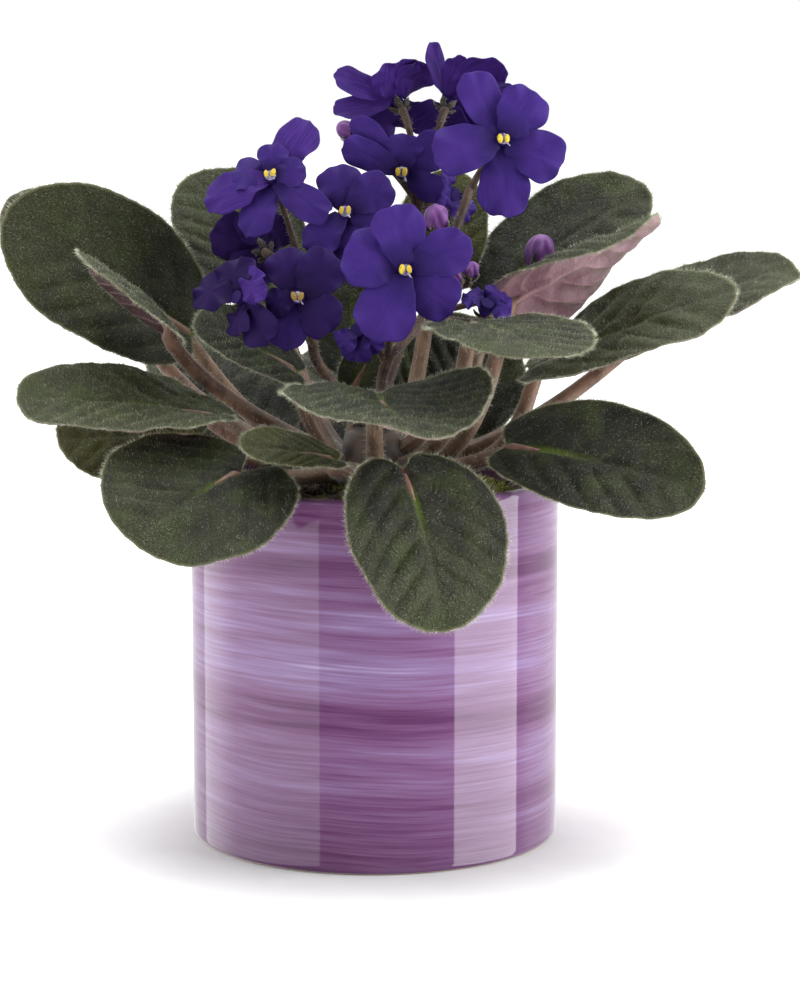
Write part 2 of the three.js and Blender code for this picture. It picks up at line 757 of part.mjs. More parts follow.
function stalk(spec) {
  const rise = curveThrough(spec.rise.map(vec), spec.rise.length + 3);
  const radii = rise.map((p, i) => mix(STALK_RADII[0], STALK_RADII[1], i / (rise.length - 1)));
  const bodies = [stem(rise, radii, STALK_SIDES)];
  spec.flowers.forEach(({ number, from }) => {
    const flower = FLOWERS[number - 1];
    const { face, right } = frameOf(flower.face);
    const back = TUBE_LENGTH + FIT_GAP + CALYX_THICKNESS / 2;
    const end = vec(flower.centre).addScaledVector(face, -back);
    bodies.push(pedicel(from, end, face), calyx(end, face, right, SEPAL_LENGTH));
  });
  spec.buds.forEach(({ number, from }) => {
    const bud = BUDS[number - 1];
    const { face, right } = frameOf(bud.along);
    const back = bud.half + FIT_GAP + CALYX_THICKNESS / 2;
    const end = vec(bud.centre).addScaledVector(face, -back);
    bodies.push(pedicel(from, end, face), calyx(end, face, right, bud.radius));
  });
  return union(bodies);
}

STALKS.forEach((spec) => addNode(spec.name, stalk(spec), COLOUR.stalk, 0.75));

FLOWERS.forEach((flower, i) => {
  const number = String(i + 1).padStart(2, '0');
  addNode(`flower_${number}_petals`, corolla(flower), COLOUR.petal, 0.6);
  if (flower.anthers) {
    addNode(`flower_${number}_anthers`, anthers(flower), COLOUR.anther, 0.6);
  }
});

BUDS.forEach((bud, i) => {
  const along = vec(bud.along).normalize();
  const centres = BUD_PLACES.map((place) => vec(bud.centre).addScaledVector(along, place * bud.half));
  const radii = BUD_RADII.map((part) => part * bud.radius);
  addNode(`flower_bud_${i + 1}`, stem(centres, radii, BUD_SIDES), COLOUR.bud, 0.6);
});

export default plant;
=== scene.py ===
"""A potted african violet, in the order it is put together: pot, soil, crown, leaves, stalks,
flowers, buds, and last the table and the lights. Sizes are in millimetres until a mesh is made."""
import math

import bpy
import numpy as np
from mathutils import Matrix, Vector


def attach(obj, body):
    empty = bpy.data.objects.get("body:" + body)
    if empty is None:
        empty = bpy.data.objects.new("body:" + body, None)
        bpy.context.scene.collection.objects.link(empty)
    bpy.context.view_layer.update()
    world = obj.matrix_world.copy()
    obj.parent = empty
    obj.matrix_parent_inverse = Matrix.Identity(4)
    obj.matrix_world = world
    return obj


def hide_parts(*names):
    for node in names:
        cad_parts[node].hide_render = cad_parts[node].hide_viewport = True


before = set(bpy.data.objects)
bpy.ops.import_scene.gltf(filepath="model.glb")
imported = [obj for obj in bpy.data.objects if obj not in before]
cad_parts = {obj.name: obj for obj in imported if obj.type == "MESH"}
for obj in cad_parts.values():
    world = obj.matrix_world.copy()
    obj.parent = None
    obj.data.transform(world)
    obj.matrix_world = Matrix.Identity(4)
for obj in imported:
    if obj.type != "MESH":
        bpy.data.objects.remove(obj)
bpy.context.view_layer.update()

# The pot
# A straight cylinder of slip-cast earthenware. Thin purple glaze is brushed on round the pot while
# it turns, so every stroke of the brush shows, under a clear glaze fired to a high gloss.
POT_RADIUS = 60.0
POT_HEIGHT = 119.0
POT_WALL = 4.0
POT_FLOOR = 6.0
POT_SIDES = 200


def shell(rings, start, end):
    """A closed surface through rings of points, from a point at one end to a point at the other."""
    rows, columns = rings.shape[:2]
    points = np.concatenate([[start], rings.reshape(-1, 3), [end]])
    row, column = [grid.ravel() for grid in np.mgrid[0:rows - 1, 0:columns]]

    def at(r, c):
        return 1 + r * columns + c % columns

    quads = [at(row, column), at(row, column + 1), at(row + 1, column + 1), at(row + 1, column)]
    column = np.arange(columns)
    first = [np.zeros(columns, int), at(0, column + 1), at(0, column)]
    last = [at(rows - 1, column), at(rows - 1, column + 1), np.full(columns, len(points) - 1)]
    return points, [np.stack(faces, 1) for faces in (quads, first, last)]


def turned(profile, sides):
    """A closed form turned about the upright axis, from [radius, height] places."""
    angle = np.linspace(0, 2 * np.pi, sides, endpoint=False)
    radius, height = np.array(profile[1:-1]).T
    across, back = radius[:, None] * np.cos(angle), radius[:, None] * np.sin(angle)
    rings = np.stack(np.broadcast_arrays(across, back, height[:, None]), -1)
    return shell(rings, [0, 0, profile[0][1]], [0, 0, profile[-1][1]])


class Piece:
    """One piece in the making: its points in millimetres, faces, finishes, and marks that say
    where on the piece a point lies, for the finish to read."""

    def __init__(self):
        self.points, self.faces, self.finishes, self.marks = [], [], [], []
        self.count = 0

    def add(self, points, faces, finish=0, **marks):
        points = np.asarray(points, float)
        for face in faces:
            self.faces.append(face + self.count)
            self.finishes.append(np.full(len(face), finish))
        self.points.append(points)
        self.marks.append((len(points), marks))
        self.count += len(points)

    def make(self, name, materials, nodes, slot):
        """Makes the mesh, in place of the named nodes of the frame."""
        corners = np.concatenate([face.ravel() for face in self.faces])
        sizes = np.concatenate([np.full(len(face), face.shape[1]) for face in self.faces])
        mesh = bpy.data.meshes.new(name)
        mesh.vertices.add(self.count)
        mesh.vertices.foreach_set("co", (np.concatenate(self.points) / 1000).ravel())
        mesh.loops.add(len(corners))
        mesh.loops.foreach_set("vertex_index", corners.astype(np.int32))
        mesh.polygons.add(len(sizes))
        starts = np.concatenate([[0], np.cumsum(sizes)[:-1]])
        mesh.polygons.foreach_set("loop_start", starts.astype(np.int32))
        mesh.polygons.foreach_set("material_index", np.concatenate(self.finishes).astype(np.int32))
        mesh.polygons.foreach_set("use_smooth", np.ones(len(sizes), bool))
        for mark in sorted({key for _, marks in self.marks for key in marks}):
            layer = mesh.attributes.new(mark, "FLOAT_VECTOR", "POINT")
            values = [
                np.broadcast_to(marks.get(mark, np.zeros(3)), (count, 3))
                for count, marks in self.marks
            ]
            layer.data.foreach_set("vector", np.concatenate(values).astype(np.float32).ravel())
        mesh.update(calc_edges=True)
        for material in materials:
            mesh.materials.append(material)
        made = bpy.data.objects.new(name, mesh)
        bpy.context.scene.collection.objects.link(made)
        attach(made, "root")
        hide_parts(*nodes)
        return made


def linear(colour, alpha=1.0):
    """A hex sRGB colour as linear red, green and blue, with alpha."""
    parts = [int(colour[i:i + 2], 16) / 255 for i in (0, 2, 4)]
    return [c / 12.92 if c <= 0.04045 else ((c + 0.055) / 1.055) ** 2.4 for c in parts] + [alpha]


def blank(name):
    """A material with an empty tree of nodes."""
    made = bpy.data.materials.new(name)
    made.use_nodes = True
    made.node_tree.nodes.clear()
    return made, made.node_tree


def node(tree, kind, inputs=None, stops=None, **settings):
    """Adds a node. An input takes a number, a colour, a node or an output; stops fill a ramp."""
    new = tree.nodes.new("ShaderNode" + kind)
    for key, value in settings.items():
        setattr(new, key, value)
    for key, value in (inputs or {}).items():
        if isinstance(value, bpy.types.Node):
            value = next(output for output in value.outputs if output.enabled)
        if isinstance(value, bpy.types.NodeSocket):
            tree.links.new(value, new.inputs[key])
        else:
            new.inputs[key].default_value = linear(value) if isinstance(value, str) else value
    if stops:
        ramp = new.color_ramp.elements
        while len(ramp) < len(stops):
            ramp.new(0.5)
        for element, (position, colour) in zip(ramp, stops):
            element.position = position
            element.color = linear(colour)
    return new


rim = [
    [POT_RADIUS - POT_WALL / 2 * (1 - math.cos(turn)), POT_HEIGHT - POT_WALL / 2 * (1 - math.sin(turn))]
    for turn in np.linspace(0, np.pi, 13)
]
pot_profile = [
    [0, 0], [20, 0], [40, 0], [56, 0], [58.4, 0], [59, 0.12], [59.5, 0.45], [59.85, 0.9], [60, 1.5],
    *[[POT_RADIUS, height] for height in np.linspace(2.5, 116, 40)],
    *rim,
    *[[POT_RADIUS - POT_WALL, height] for height in (100, 70, 30, 8.5)],
    [55.2, 6.8], [53.5, 6.1], [51, POT_FLOOR], [25, POT_FLOOR], [0, POT_FLOOR],
]

# Brushed underglaze purple under clear gloss: fine level streaks of lighter and darker purple, a
# mirror-sharp highlight, and a bare clay foot.
glaze, tree = blank("brushed purple glaze")
where = node(tree, "TexCoord").outputs["Object"]
# the brush wanders up and down by about 2 mm on its way round
wander = node(tree, "TexNoise", {"Vector": where, "Scale": 14.0, "Detail": 1.0})
x, y, z = node(tree, "SeparateXYZ", {"Vector": where}).outputs
sway = node(tree, "Math", {0: wander, 1: 0.006, 2: z}, operation="MULTIPLY_ADD")
slant = node(tree, "Math", {0: x, 1: 0.02, 2: sway}, operation="MULTIPLY_ADD")
level = node(tree, "CombineXYZ", {"X": x, "Y": y, "Z": slant})
bands = node(tree, "MapRange", {"Value": slant, "From Max": 0.122})
brushed = node(tree, "ValToRGB", {"Fac": bands}, stops=[
    (0.0, "6a6a6a"), (0.06, "787878"), (0.15, "8c8c8c"), (0.205, "707070"), (0.25, "9a9a9a"),
    (0.36, "9e9e9e"), (0.395, "505050"), (0.44, "484848"), (0.475, "8a8a8a"), (0.56, "a8a8a8"),
    (0.62, "8e8e8e"), (0.68, "a4a4a4"), (0.765, "909090"), (0.79, "666666"), (0.82, "707070"),
    (0.85, "a0a0a0"), (0.91, "8a8a8a"), (0.95, "5c5c5c"), (1.0, "808080"),
])
# strokes about 13, 3.5 and 0.8 mm high: how often they change round and up the pot, the detail in
# them, and their share of the colour
STROKES = [(9.0, 75.0, 2.0, 0.55), (16.0, 300.0, 3.0, 0.6), (25.0, 1300.0, 3.0, 0.5)]
for around, upright, detail, share in STROKES:
    stretch = node(tree, "VectorMath", {0: level, 1: (around, around, upright)}, operation="MULTIPLY")
    stroke = node(tree, "TexNoise", {"Vector": stretch, "Scale": 1.0, "Detail": detail, "Roughness": 0.6})
    brushed = node(tree, "Math", {0: stroke, 1: share, 2: brushed}, operation="MULTIPLY_ADD")
depth = node(tree, "MapRange", {"Value": brushed, "From Min": 0.82, "From Max": 1.42})
purple = node(tree, "ValToRGB", {"Fac": depth}, stops=[
    (0.0, "572f56"), (0.3, "6c456d"), (0.55, "79597f"), (0.8, "866e97"), (1.0, "9e8caf"),
])
foot = node(tree, "MapRange", {"Value": z, "From Min": 0.0003, "From Max": 0.0006})
clay = node(tree, "Mix", {0: foot, 6: "b8a596", 7: purple}, data_type="RGBA")
gloss = node(tree, "MapRange", {"Value": foot, "To Min": 0.8, "To Max": 0.045})
ridge = node(tree, "Bump", {"Height": stroke, "Strength": 0.05, "Distance": 0.0002})
skin = node(tree, "BsdfPrincipled", {"Base Color": clay, "Roughness": gloss, "IOR": 1.5, "Normal": ridge})
node(tree, "OutputMaterial", {"Surface": skin})

pot = Piece()
pot.add(*turned(pot_profile, POT_SIDES))
pot.make("glazed_pot", [glaze], ["pot"], "glazed_pot")

# The potting soil
# Dark peat-based mix with bark crumbs, filled to just under the rim and mounded to the crown. It
# is loose, held by the pot, and moss has grown on its surface.
SOIL_RADIUS = 55.7
SOIL_FLOOR = 96.0
SOIL_HEIGHTS = [[0, 117.5], [13, 117], [30, 114.5], [50, 111.5], [SOIL_RADIUS, 110.5]]
CRUMBS = 900
MOSS_TUFTS = 260
LEAFLETS = 14
HAIR_ROOT = 0.15


def ripple(places, size, seed):
    """A smooth random height, about -1 to 1, with waves about size long."""
    draw = np.random.default_rng(seed)
    total = 0
    for _ in range(6):
        way = draw.normal(size=places.shape[-1])
        way *= 2 * np.pi / size / draw.uniform(0.7, 1.4) / np.linalg.norm(way)
        total = total + np.sin(places @ way + draw.uniform(0, 2 * np.pi))
    return total / 3


def unit(vectors):
    """The same directions with a length of one."""
    vectors = np.asarray(vectors, float)
    return vectors / np.linalg.norm(vectors, axis=-1, keepdims=True)


def hairs(roots, ways, lengths, width, draw):
    """Closed three-sided spikes, each along its own way, their roots sunk a little into the skin."""
    ways = unit(ways)
    side = unit(np.cross(ways, draw.normal(size=ways.shape)))
    other = np.cross(ways, side)
    points = np.empty((len(roots), 4, 3))
    for corner in range(3):
        turn = 2 * np.pi * corner / 3
        spread = side * math.cos(turn) + other * math.sin(turn)
        points[:, corner] = roots - ways * HAIR_ROOT + spread * width / 2
    points[:, 3] = roots + ways * np.reshape(lengths, (-1, 1))
    corners = np.array([[0, 2, 1], [0, 1, 3], [1, 2, 3], [2, 0, 3]])
    faces = (np.arange(len(roots))[:, None, None] * 4 + corners).reshape(-1, 3)
    return points.reshape(-1, 3), [faces]


def soil_height(places):
    """How high the loose surface lies at places [x, y]."""
    radius = np.hypot(places[:, 0], places[:, 1])
    base = np.interp(radius, *np.array(SOIL_HEIGHTS).T)
    return base + ripple(places, 17, 3) * 0.8 + ripple(places, 6, 4) * 0.6 + ripple(places, 2.6, 5) * 0.3


draw = np.random.default_rng(11)
surface = [[radius, 112] for radius in np.linspace(SOIL_RADIUS, 0.8, 42)]
points, faces = turned([[0, SOIL_FLOOR], [SOIL_RADIUS, SOIL_FLOOR], *surface, [0, 117]], 150)
top = points[:, 2] > SOIL_FLOOR
points[top, 2] = soil_height(points[top, :2])
soil = Piece()
soil.add(points, faces)
# crumbs: small broken lumps, each an uneven closed form of eight faces
lump = np.array([[1, 0, 0], [0, 1, 0], [-1, 0, 0], [0, -1, 0], [0, 0, 1], [0, 0, -1]], float)
lump_faces = np.array([[i, (i + 1) % 4, 4] for i in range(4)] + [[(i + 1) % 4, i, 5] for i in range(4)])
for _ in range(CRUMBS):
    radius, turn = SOIL_RADIUS * math.sqrt(draw.uniform(0.03, 0.98)), draw.uniform(0, 2 * np.pi)
    spot = np.array([[radius * math.cos(turn), radius * math.sin(turn)]])
    size = draw.uniform(0.5, 1.9) * draw.uniform(0.5, 1.2, 3)
    spin = unit(draw.normal(size=(3, 3)))
    body = (lump * size + draw.normal(size=(6, 3)) * 0.18) @ spin * np.sign(np.linalg.det(spin))
    soil.add(body + [*spot[0], soil_height(spot)[0] + 0.3], [lump_faces])
# moss: short tufts of pointed leaflets
for _ in range(MOSS_TUFTS):
    turn = draw.normal(0.7, 0.9) if draw.uniform() < 0.6 else draw.uniform(0, 2 * np.pi)
    radius = draw.uniform(14, 54)
    spot = np.array([radius * math.cos(turn), radius * math.sin(turn)])
    places = spot + draw.normal(size=(LEAFLETS, 2)) * 0.9
    places *= np.minimum(1, 54.5 / np.hypot(*places.T))[:, None]
    roots = np.column_stack([places, soil_height(places)])
    leans = (places - spot) * 0.5 + draw.normal(size=(LEAFLETS, 2)) * 0.3
    ways = np.column_stack([leans, np.ones(LEAFLETS)])
    soil.add(*hairs(roots, ways, draw.uniform(1.4, 3.2, LEAFLETS), 0.6, draw), finish=1)


def mottled(name, scale, stops, roughness, detail=2.0, bump=None, **coats):
    """A finish whose colour follows one cloudy pattern, which can stand up too: bump is its strength
    and its height in metres."""
    made, tree = blank(name)
    where = node(tree, "TexCoord").outputs["Object"]
    cloud = node(tree, "TexNoise", {"Vector": where, "Scale": scale, "Detail": detail})
    inputs = {"Base Color": node(tree, "ValToRGB", {"Fac": cloud}, stops=stops), "Roughness": roughness}
    if bump:
        strength, height = bump
        inputs["Normal"] = node(tree, "Bump", {"Height": cloud, "Strength": strength, "Distance": height})
    skin = node(tree, "BsdfPrincipled", {**inputs, **coats})
    node(tree, "OutputMaterial", {"Surface": skin})
    return made


# Peat and bark: nearly black brown with paler fibres, dull all over.
peat = mottled("peat potting mix", 420.0,
               [(0.3, "150f0a"), (0.5, "2c2117"), (0.63, "4a3726"), (0.75, "7b6446")],
               0.9, detail=4.0, bump=(0.6, 0.0008))

# Moss: yellow-green leaflets, mottled with darker olive.
moss = mottled("cushion moss", 160.0, [(0.3, "3a3a16"), (0.5, "666a26"), (0.7, "9a9a44")], 0.8)

soil.make("peat_and_moss", [peat, moss], ["potting_soil"], "potting_soil")

# The crown and the petioles
# The crown is the plant's short thick stem. Fleshy round petioles, about 5 mm thick, grow from it,
# arch outwards, and carry one blade each. They are brown-rose, with fine pale hairs.
CROWN_RADIUS = 12.0
PETIOLE_ROOT_RADIUS = 3.2
PETIOLE_TIP_RADIUS = 2.4
PETIOLE_STEPS = 24
PETIOLE_SIDES = 12
PETIOLE_GAP = 0.3
BLADE_THICKNESS = 1.0
# base is where the petiole meets the blade, tip its far end, up the way its green face looks, all
# three with the width in millimetres. In degrees, droop is the bend along the blade, cup the bend
# across each half and twist the turn from base to tip. lobe is how far the blade reaches back past
# the petiole, root the height where the petiole starts, and via a place that it bends past. red is
# how far its veins are flushed and its lower face darkened to maroon, partly its own colour and
# partly painted shade. deep is how dark its green is drawn: painted shade, and below zero painted
# light. A young leaf is small and olive, and a rear one is mostly hidden and has fewer faces and
# hairs.
LEAVES = [
    dict(base=(-59, 10, 163), tip=(-118, 6, 205), width=50, up=(0.23, -0.9, 0.3), droop=10, cup=20,
         twist=-32, red=0.1, deep=-0.4),
    dict(base=(-76, 32, 162), tip=(-121, 28, 206), width=42, up=(0.2, -0.8, 0.5), droop=16, cup=14),
    dict(base=(-62, -18, 167), tip=(-94, -18, 192), width=38, up=(0.6, 0.12, 0.78), droop=28,
         cup=(-40, -18), via=(-34, 14, 132), red=1.0),
    dict(base=(-49, -28, 142), tip=(-112, -34, 148), width=54, up=(0.1, -0.25, 0.97), droop=14, cup=7,
         twist=-18, lobe=8, deep=-0.7),
    dict(base=(-57, 5, 131), tip=(-103, -4, 130), width=44, up=(0.1, -0.65, 0.75), droop=18, cup=6,
         young=True),
    dict(base=(-41, -50, 128), tip=(-73, -80, 110), width=61, up=(0.05, -0.6, 0.8), droop=17, cup=3,
         twist=-12, lobe=11, red=0.9),
    dict(base=(-11, -49, 131), tip=(-41, -58, 136), width=26, up=(0.25, -0.28, 0.93), droop=15, cup=5,
         twist=-12, lobe=3, young=True),
    dict(base=(-24, -12, 154), tip=(-57, -20, 171), width=32, up=(0.5, -0.39, 0.77), droop=17, cup=7,
         twist=-10, lobe=4, deep=0.8),
    dict(base=(-32, 35, 176), tip=(-61, 46, 214), width=47, up=(0.4, -0.76, 0.52), droop=11, cup=6,
         twist=-6),
    dict(base=(1, -44, 150), tip=(14, -90, 144), width=67, up=(0.19, -0.08, 0.98), droop=2,
         cup=(-4, 56), lobe=15, deep=0.7),
    dict(base=(9, -62, 130), tip=(22, -81, 83), width=54, up=(0.42, -0.79, 0.45), droop=34, cup=8,
         lobe=6, red=1.0),
    dict(base=(41, -30, 133), tip=(103, -45, 121), width=40, up=(-0.07, -0.8, 0.6), droop=20, cup=15,
         twist=32, lobe=6, deep=0.6),
    dict(base=(50, 0, 153), tip=(116, -10, 180), width=52, up=(-0.41, -0.31, 0.86), droop=12, cup=7,
         twist=18, lobe=5, via=(45, 0, 114), root=122, deep=-0.6),
    dict(base=(80, 14, 160), tip=(139, 20, 186), width=44, up=(-0.3, -0.35, 0.9), droop=18, cup=12,
         via=(34, 6, 121)),
    dict(base=(30, -31, 172), tip=(56, -76, 165), width=50, up=(0.05, -0.14, 0.99), droop=18, cup=5,
         via=(27, -17, 124), red=0.9, deep=0.3),
    dict(base=(42, -5, 174), tip=(92, 0, 203), width=40, up=(-0.3, 0.8, 0.5), droop=6, cup=(-90, 30),
         twist=54, via=(34, -3, 118), red=0.0),
    dict(base=(37, 30, 174), tip=(91, 37, 210), width=43, up=(-0.3, -0.7, 0.6), droop=14, cup=10,
         via=(28, 20, 119), deep=0.4),
    dict(base=(18, 33, 176), tip=(27, 48, 215), width=31, up=(-0.05, -0.9, 0.43), droop=14, cup=15,
         twist=4, young=True),
    dict(base=(-8, 4, 144), tip=(2, 0, 164), width=15, up=(0, -0.85, 0.5), droop=16, cup=20, lobe=2,
         root=130, rear=True),
    dict(base=(14, -6, 138), tip=(25, -14, 144), width=12, up=(-0.3, -0.3, 0.9), droop=16, cup=16,
         lobe=2, root=127, rear=True),
    dict(base=(-9, 40, 122), tip=(-11, 92, 152), width=46, up=(0.05, -0.5, 0.85), droop=20, cup=10,
         deep=0.8),
    dict(base=(21, 43, 131), tip=(37, 53, 164), width=46, up=(0.1, -0.9, 0.3), droop=20, cup=10,
         via=(16, 34, 118), deep=0.8),
    dict(base=(-38, 38, 126), tip=(-68, 80, 157), width=50, up=(0.1, -0.6, 0.8), droop=20, cup=10,
         deep=0.8),
    dict(base=(-6, 40, 150), tip=(-10, 60, 200), width=40, up=(0, -0.85, 0.5), droop=14, cup=12,
         rear=True),
]


class Surface:
    """The bent, cupped and twisted face of one blade: s runs from the petiole to the tip, t across,
    both in millimetres along the face, and depth is measured down from the green side."""

    def __init__(self, leaf):
        self.base = np.array(leaf["base"], float)
        chord = np.array(leaf["tip"], float) - self.base
        self.along = unit(chord)
        up = np.array(leaf["up"], float)
        self.up = unit(up - self.along * (up @ self.along))
        self.side = np.cross(self.up, self.along)
        self.droop = math.radians(leaf["droop"])
        self.length = np.linalg.norm(chord) * self.droop / 2 / math.sin(self.droop / 2)
        self.half_width = leaf["width"] / 2
        cups = np.atleast_1d(leaf["cup"])
        self.cups = np.radians([cups[0], cups[-1]]) / self.half_width
        self.twist = math.radians(leaf.get("twist", 0))
        half = self.droop / 2
        self.start_along = self.along * math.cos(half) + self.up * math.sin(half)
        self.start_up = unit(self.place(0, 0, -1) - self.place(0, 0, 0))

    def place(self, s, t, depth):
        s, t, depth = np.broadcast_arrays(*[np.asarray(v, float) for v in (s, t, depth)])
        bend = self.droop / self.length
        slope = self.droop / 2 - bend * s
        run = (math.sin(self.droop / 2) - np.sin(slope)) / bend
        rise = (np.cos(slope) - math.cos(self.droop / 2)) / bend
        curl = np.where(t < 0, self.cups[0], self.cups[1])
        turn = self.twist * (s / self.length - 0.5)
        lift = (1 - np.cos(curl * t)) / curl - np.cos(curl * t) * depth
        away = np.sin(curl * t) / curl + np.sin(curl * t) * depth
        height = away * np.sin(turn) + lift * np.cos(turn)
        across = away * np.cos(turn) - lift * np.sin(turn)
        return (
            self.base
            + (run - np.sin(slope) * height)[..., None] * self.along
            + (rise + np.cos(slope) * height)[..., None] * self.up
            + across[..., None] * self.side
        )


def tube(centres, radii, sides, groove=0.0):
    """Rings of points round a run of centres. groove flattens the side that faces up."""
    along = unit(np.gradient(centres, axis=0))
    across = np.cross([0, 0, 1] if abs(along[0, 2]) < 0.9 else [1, 0, 0], along[0])
    turn = np.linspace(0, 2 * np.pi, sides, endpoint=False)
    rings = []
    for centre, way, radius in zip(centres, along, radii):
        across = unit(across - way * (across @ way))
        third = np.cross(way, across)
        spread = across * np.cos(turn)[:, None] + third * np.sin(turn)[:, None]
        high = np.array([0, 0, 1.0]) - way * way[2]
        hollow = groove * np.clip(spread @ high, 0, 1) ** 4
        rings.append(centre + spread * (radius * (1 - hollow))[:, None])
    return np.array(rings)


def capped(rings):
    """A closed surface through rings, with flat ends."""
    return shell(rings, rings[0].mean(0), rings[-1].mean(0))


def bezier(a, b, c, d, steps):
    """Places along a curve from a to d that leaves towards b and arrives from c."""
    u = np.linspace(0, 1, steps)[:, None]
    return (1 - u) ** 3 * a + 3 * (1 - u) ** 2 * u * b + 3 * (1 - u) * u ** 2 * c + u ** 3 * d


def stem_hairs(rings, count, length, width, draw):
    """Hairs that stand out at random places of a tube."""
    row = draw.uniform(0.02, 0.98, count) * (len(rings) - 1)
    column = draw.integers(0, rings.shape[1], count)
    low, part = row.astype(int), (row % 1)[:, None]
    root = rings[low, column] * (1 - part) + rings[low + 1, column] * part
    centre = rings.mean(1)
    middle = centre[low] * (1 - part) + centre[low + 1] * part
    ways = unit(root - middle) + draw.normal(size=(count, 3)) * 0.35
    return hairs(root, ways, draw.uniform(0.6, 1.25, count) * length, width, draw)


def petiole(leaf):
    """Rings of a petiole, from the crown to inside the blade's midrib."""
    face = Surface(leaf)
    foot = face.place(1, 0, BLADE_THICKNESS)
    outward = unit([foot[0], foot[1], 0])
    root = outward * CROWN_RADIUS * 0.4 + [0, 0, leaf.get("root", 121)]
    first = root + outward * math.hypot(foot[0], foot[1]) * 0.45
    if "via" in leaf:
        first = np.array(leaf["via"], float)
    arrive = unit(unit(foot - first) * 0.8 + face.start_along * 0.2)
    lean = arrive @ face.start_up
    if lean < 0.12:
        arrive = unit(arrive + face.start_up * (0.12 - lean))
    drop = PETIOLE_GAP + PETIOLE_TIP_RADIUS * math.sqrt(max(0, 1 - (arrive @ face.start_up) ** 2))
    end = foot - face.start_up * drop
    second = end - arrive * 0.4 * np.linalg.norm(end - first)
    inside = face.place([3, 7, 12], 0, [1.6, 1.2, 0.9])
    path = np.concatenate([bezier(root, first, second, end, PETIOLE_STEPS), inside])
    taper = np.linspace(PETIOLE_ROOT_RADIUS, PETIOLE_TIP_RADIUS, PETIOLE_STEPS)
    taper[:4] += [1.2, 0.8, 0.4, 0.15]
    return tube(path, [*taper, 1.9, 1.2, 0.5], PETIOLE_SIDES, groove=0.22)


# stem_place is how far along its petiole a point lies, 1 on a sepal, and a number of the petiole's own
crown = Piece()
crown_profile = [
    [0, 106], [CROWN_RADIUS, 106], [12.2, 112], [CROWN_RADIUS, 118], [11.6, 123], [10.8, 128], [9.4, 132],
    [6.5, 133.8], [0, 134],
]
points, faces = turned(crown_profile, 40)
points[:, :2] *= (1 + ripple(points, 9, 8) * 0.05)[:, None]
# the crown takes the darkest colour of the petioles, painted shade in the middle of the plant
crown.add(points, faces, stem_place=(0, 0, 0))
draw = np.random.default_rng(21)
for leaf in LEAVES:
    rings = petiole(leaf)
    along = np.concatenate([[0], np.repeat(np.linspace(0, 1, len(rings)), PETIOLE_SIDES), [1]])
    place = np.column_stack([along, np.zeros(len(along)), np.full(len(along), draw.uniform())])
    crown.add(*capped(rings), stem_place=place)
    crown.add(*stem_hairs(rings[:PETIOLE_STEPS], 420, 1.5, 0.13, draw), finish=1)

# Living petiole skin: brown-rose and a little wet-looking, with long ruddy streaks. It is drawn
# dark towards the crown, which is painted shade in the middle of the plant.
petiole_skin, tree = blank("petiole skin")
mark = node(tree, "Attribute", attribute_name="stem_place").outputs["Vector"]
along, _, own = node(tree, "SeparateXYZ", {"Vector": mark}).outputs
where = node(tree, "TexCoord").outputs["Object"]
mottle = node(tree, "TexNoise", {"Vector": where, "Scale": 180.0, "Detail": 3.0})
# dark towards the crown: painted shade where the leaves cover the middle of the plant
crown_shaded_lengthwise = node(tree, "ValToRGB", {"Fac": along}, stops=[
    (0.0, "30221a"), (0.25, "38281d"), (0.55, "664a39"), (0.85, "70503f"), (1.0, "66403a"),
])
# some petioles are tanned and pale, others stay brown
tanned = node(tree, "MapRange", {"Value": own, "From Min": 0.35, "To Max": 0.6})
blotched = node(tree, "MapRange", {"Value": mottle, "From Min": 0.35, "From Max": 0.75, "To Max": 0.5})
# the streaks are about 2 mm wide
drawn_out = node(tree, "VectorMath", {0: where, 1: (1.0, 1.0, 0.25)}, operation="MULTIPLY")
streak = node(tree, "TexNoise", {"Vector": drawn_out, "Scale": 320.0, "Detail": 2.0})
ruddy = node(tree, "MapRange", {"Value": streak, "From Min": 0.48, "From Max": 0.66, "To Max": 0.6})
colour = crown_shaded_lengthwise
for part, over in ((tanned, "8b7557"), (blotched, "8a6a52"), (ruddy, "35190f")):
    colour = node(tree, "Mix", {0: part, 6: colour, 7: over}, data_type="RGBA")
pores = node(tree, "Bump", {"Height": mottle, "Strength": 0.25, "Distance": 0.0003})
skin = node(tree, "BsdfPrincipled", {
    "Base Color": colour, "Roughness": 0.5, "Sheen Weight": 0.25, "Sheen Roughness": 0.5, "Normal": pores,
})
node(tree, "OutputMaterial", {"Surface": skin})

# Plant hair: colourless fine hairs that read as a pale silver bloom. Real ones are 0.03 mm thick;
# they are drawn 0.09 to 0.13 mm thick so that they show.
plant_hair = mottled("silver plant hair", 300.0, [(0.3, "74785e"), (0.7, "d4d6c0")], 0.5)

crown.make("crown_and_hairy_petioles", [petiole_skin, plant_hair], ["crown_and_petioles"], "petioles")

# The leaf blades
# Thick quilted blades, a closed body each, on the ends of their petioles. The upper face is dark
# grey-green velvet with sunken veins, the lower face pink-mauve with raised ones.
NOTCH = 0.17
CRENATION = 5.5
VEIN_PAIRS = 6.2
# hairs to a millimetre of rim, and to a square millimetre of the upper and the lower face
RIM_HAIRS = 9
UPPER_HAIRS = 0.64
YOUNG_UPPER_HAIRS = 0.3
LOWER_HAIRS = 0.15


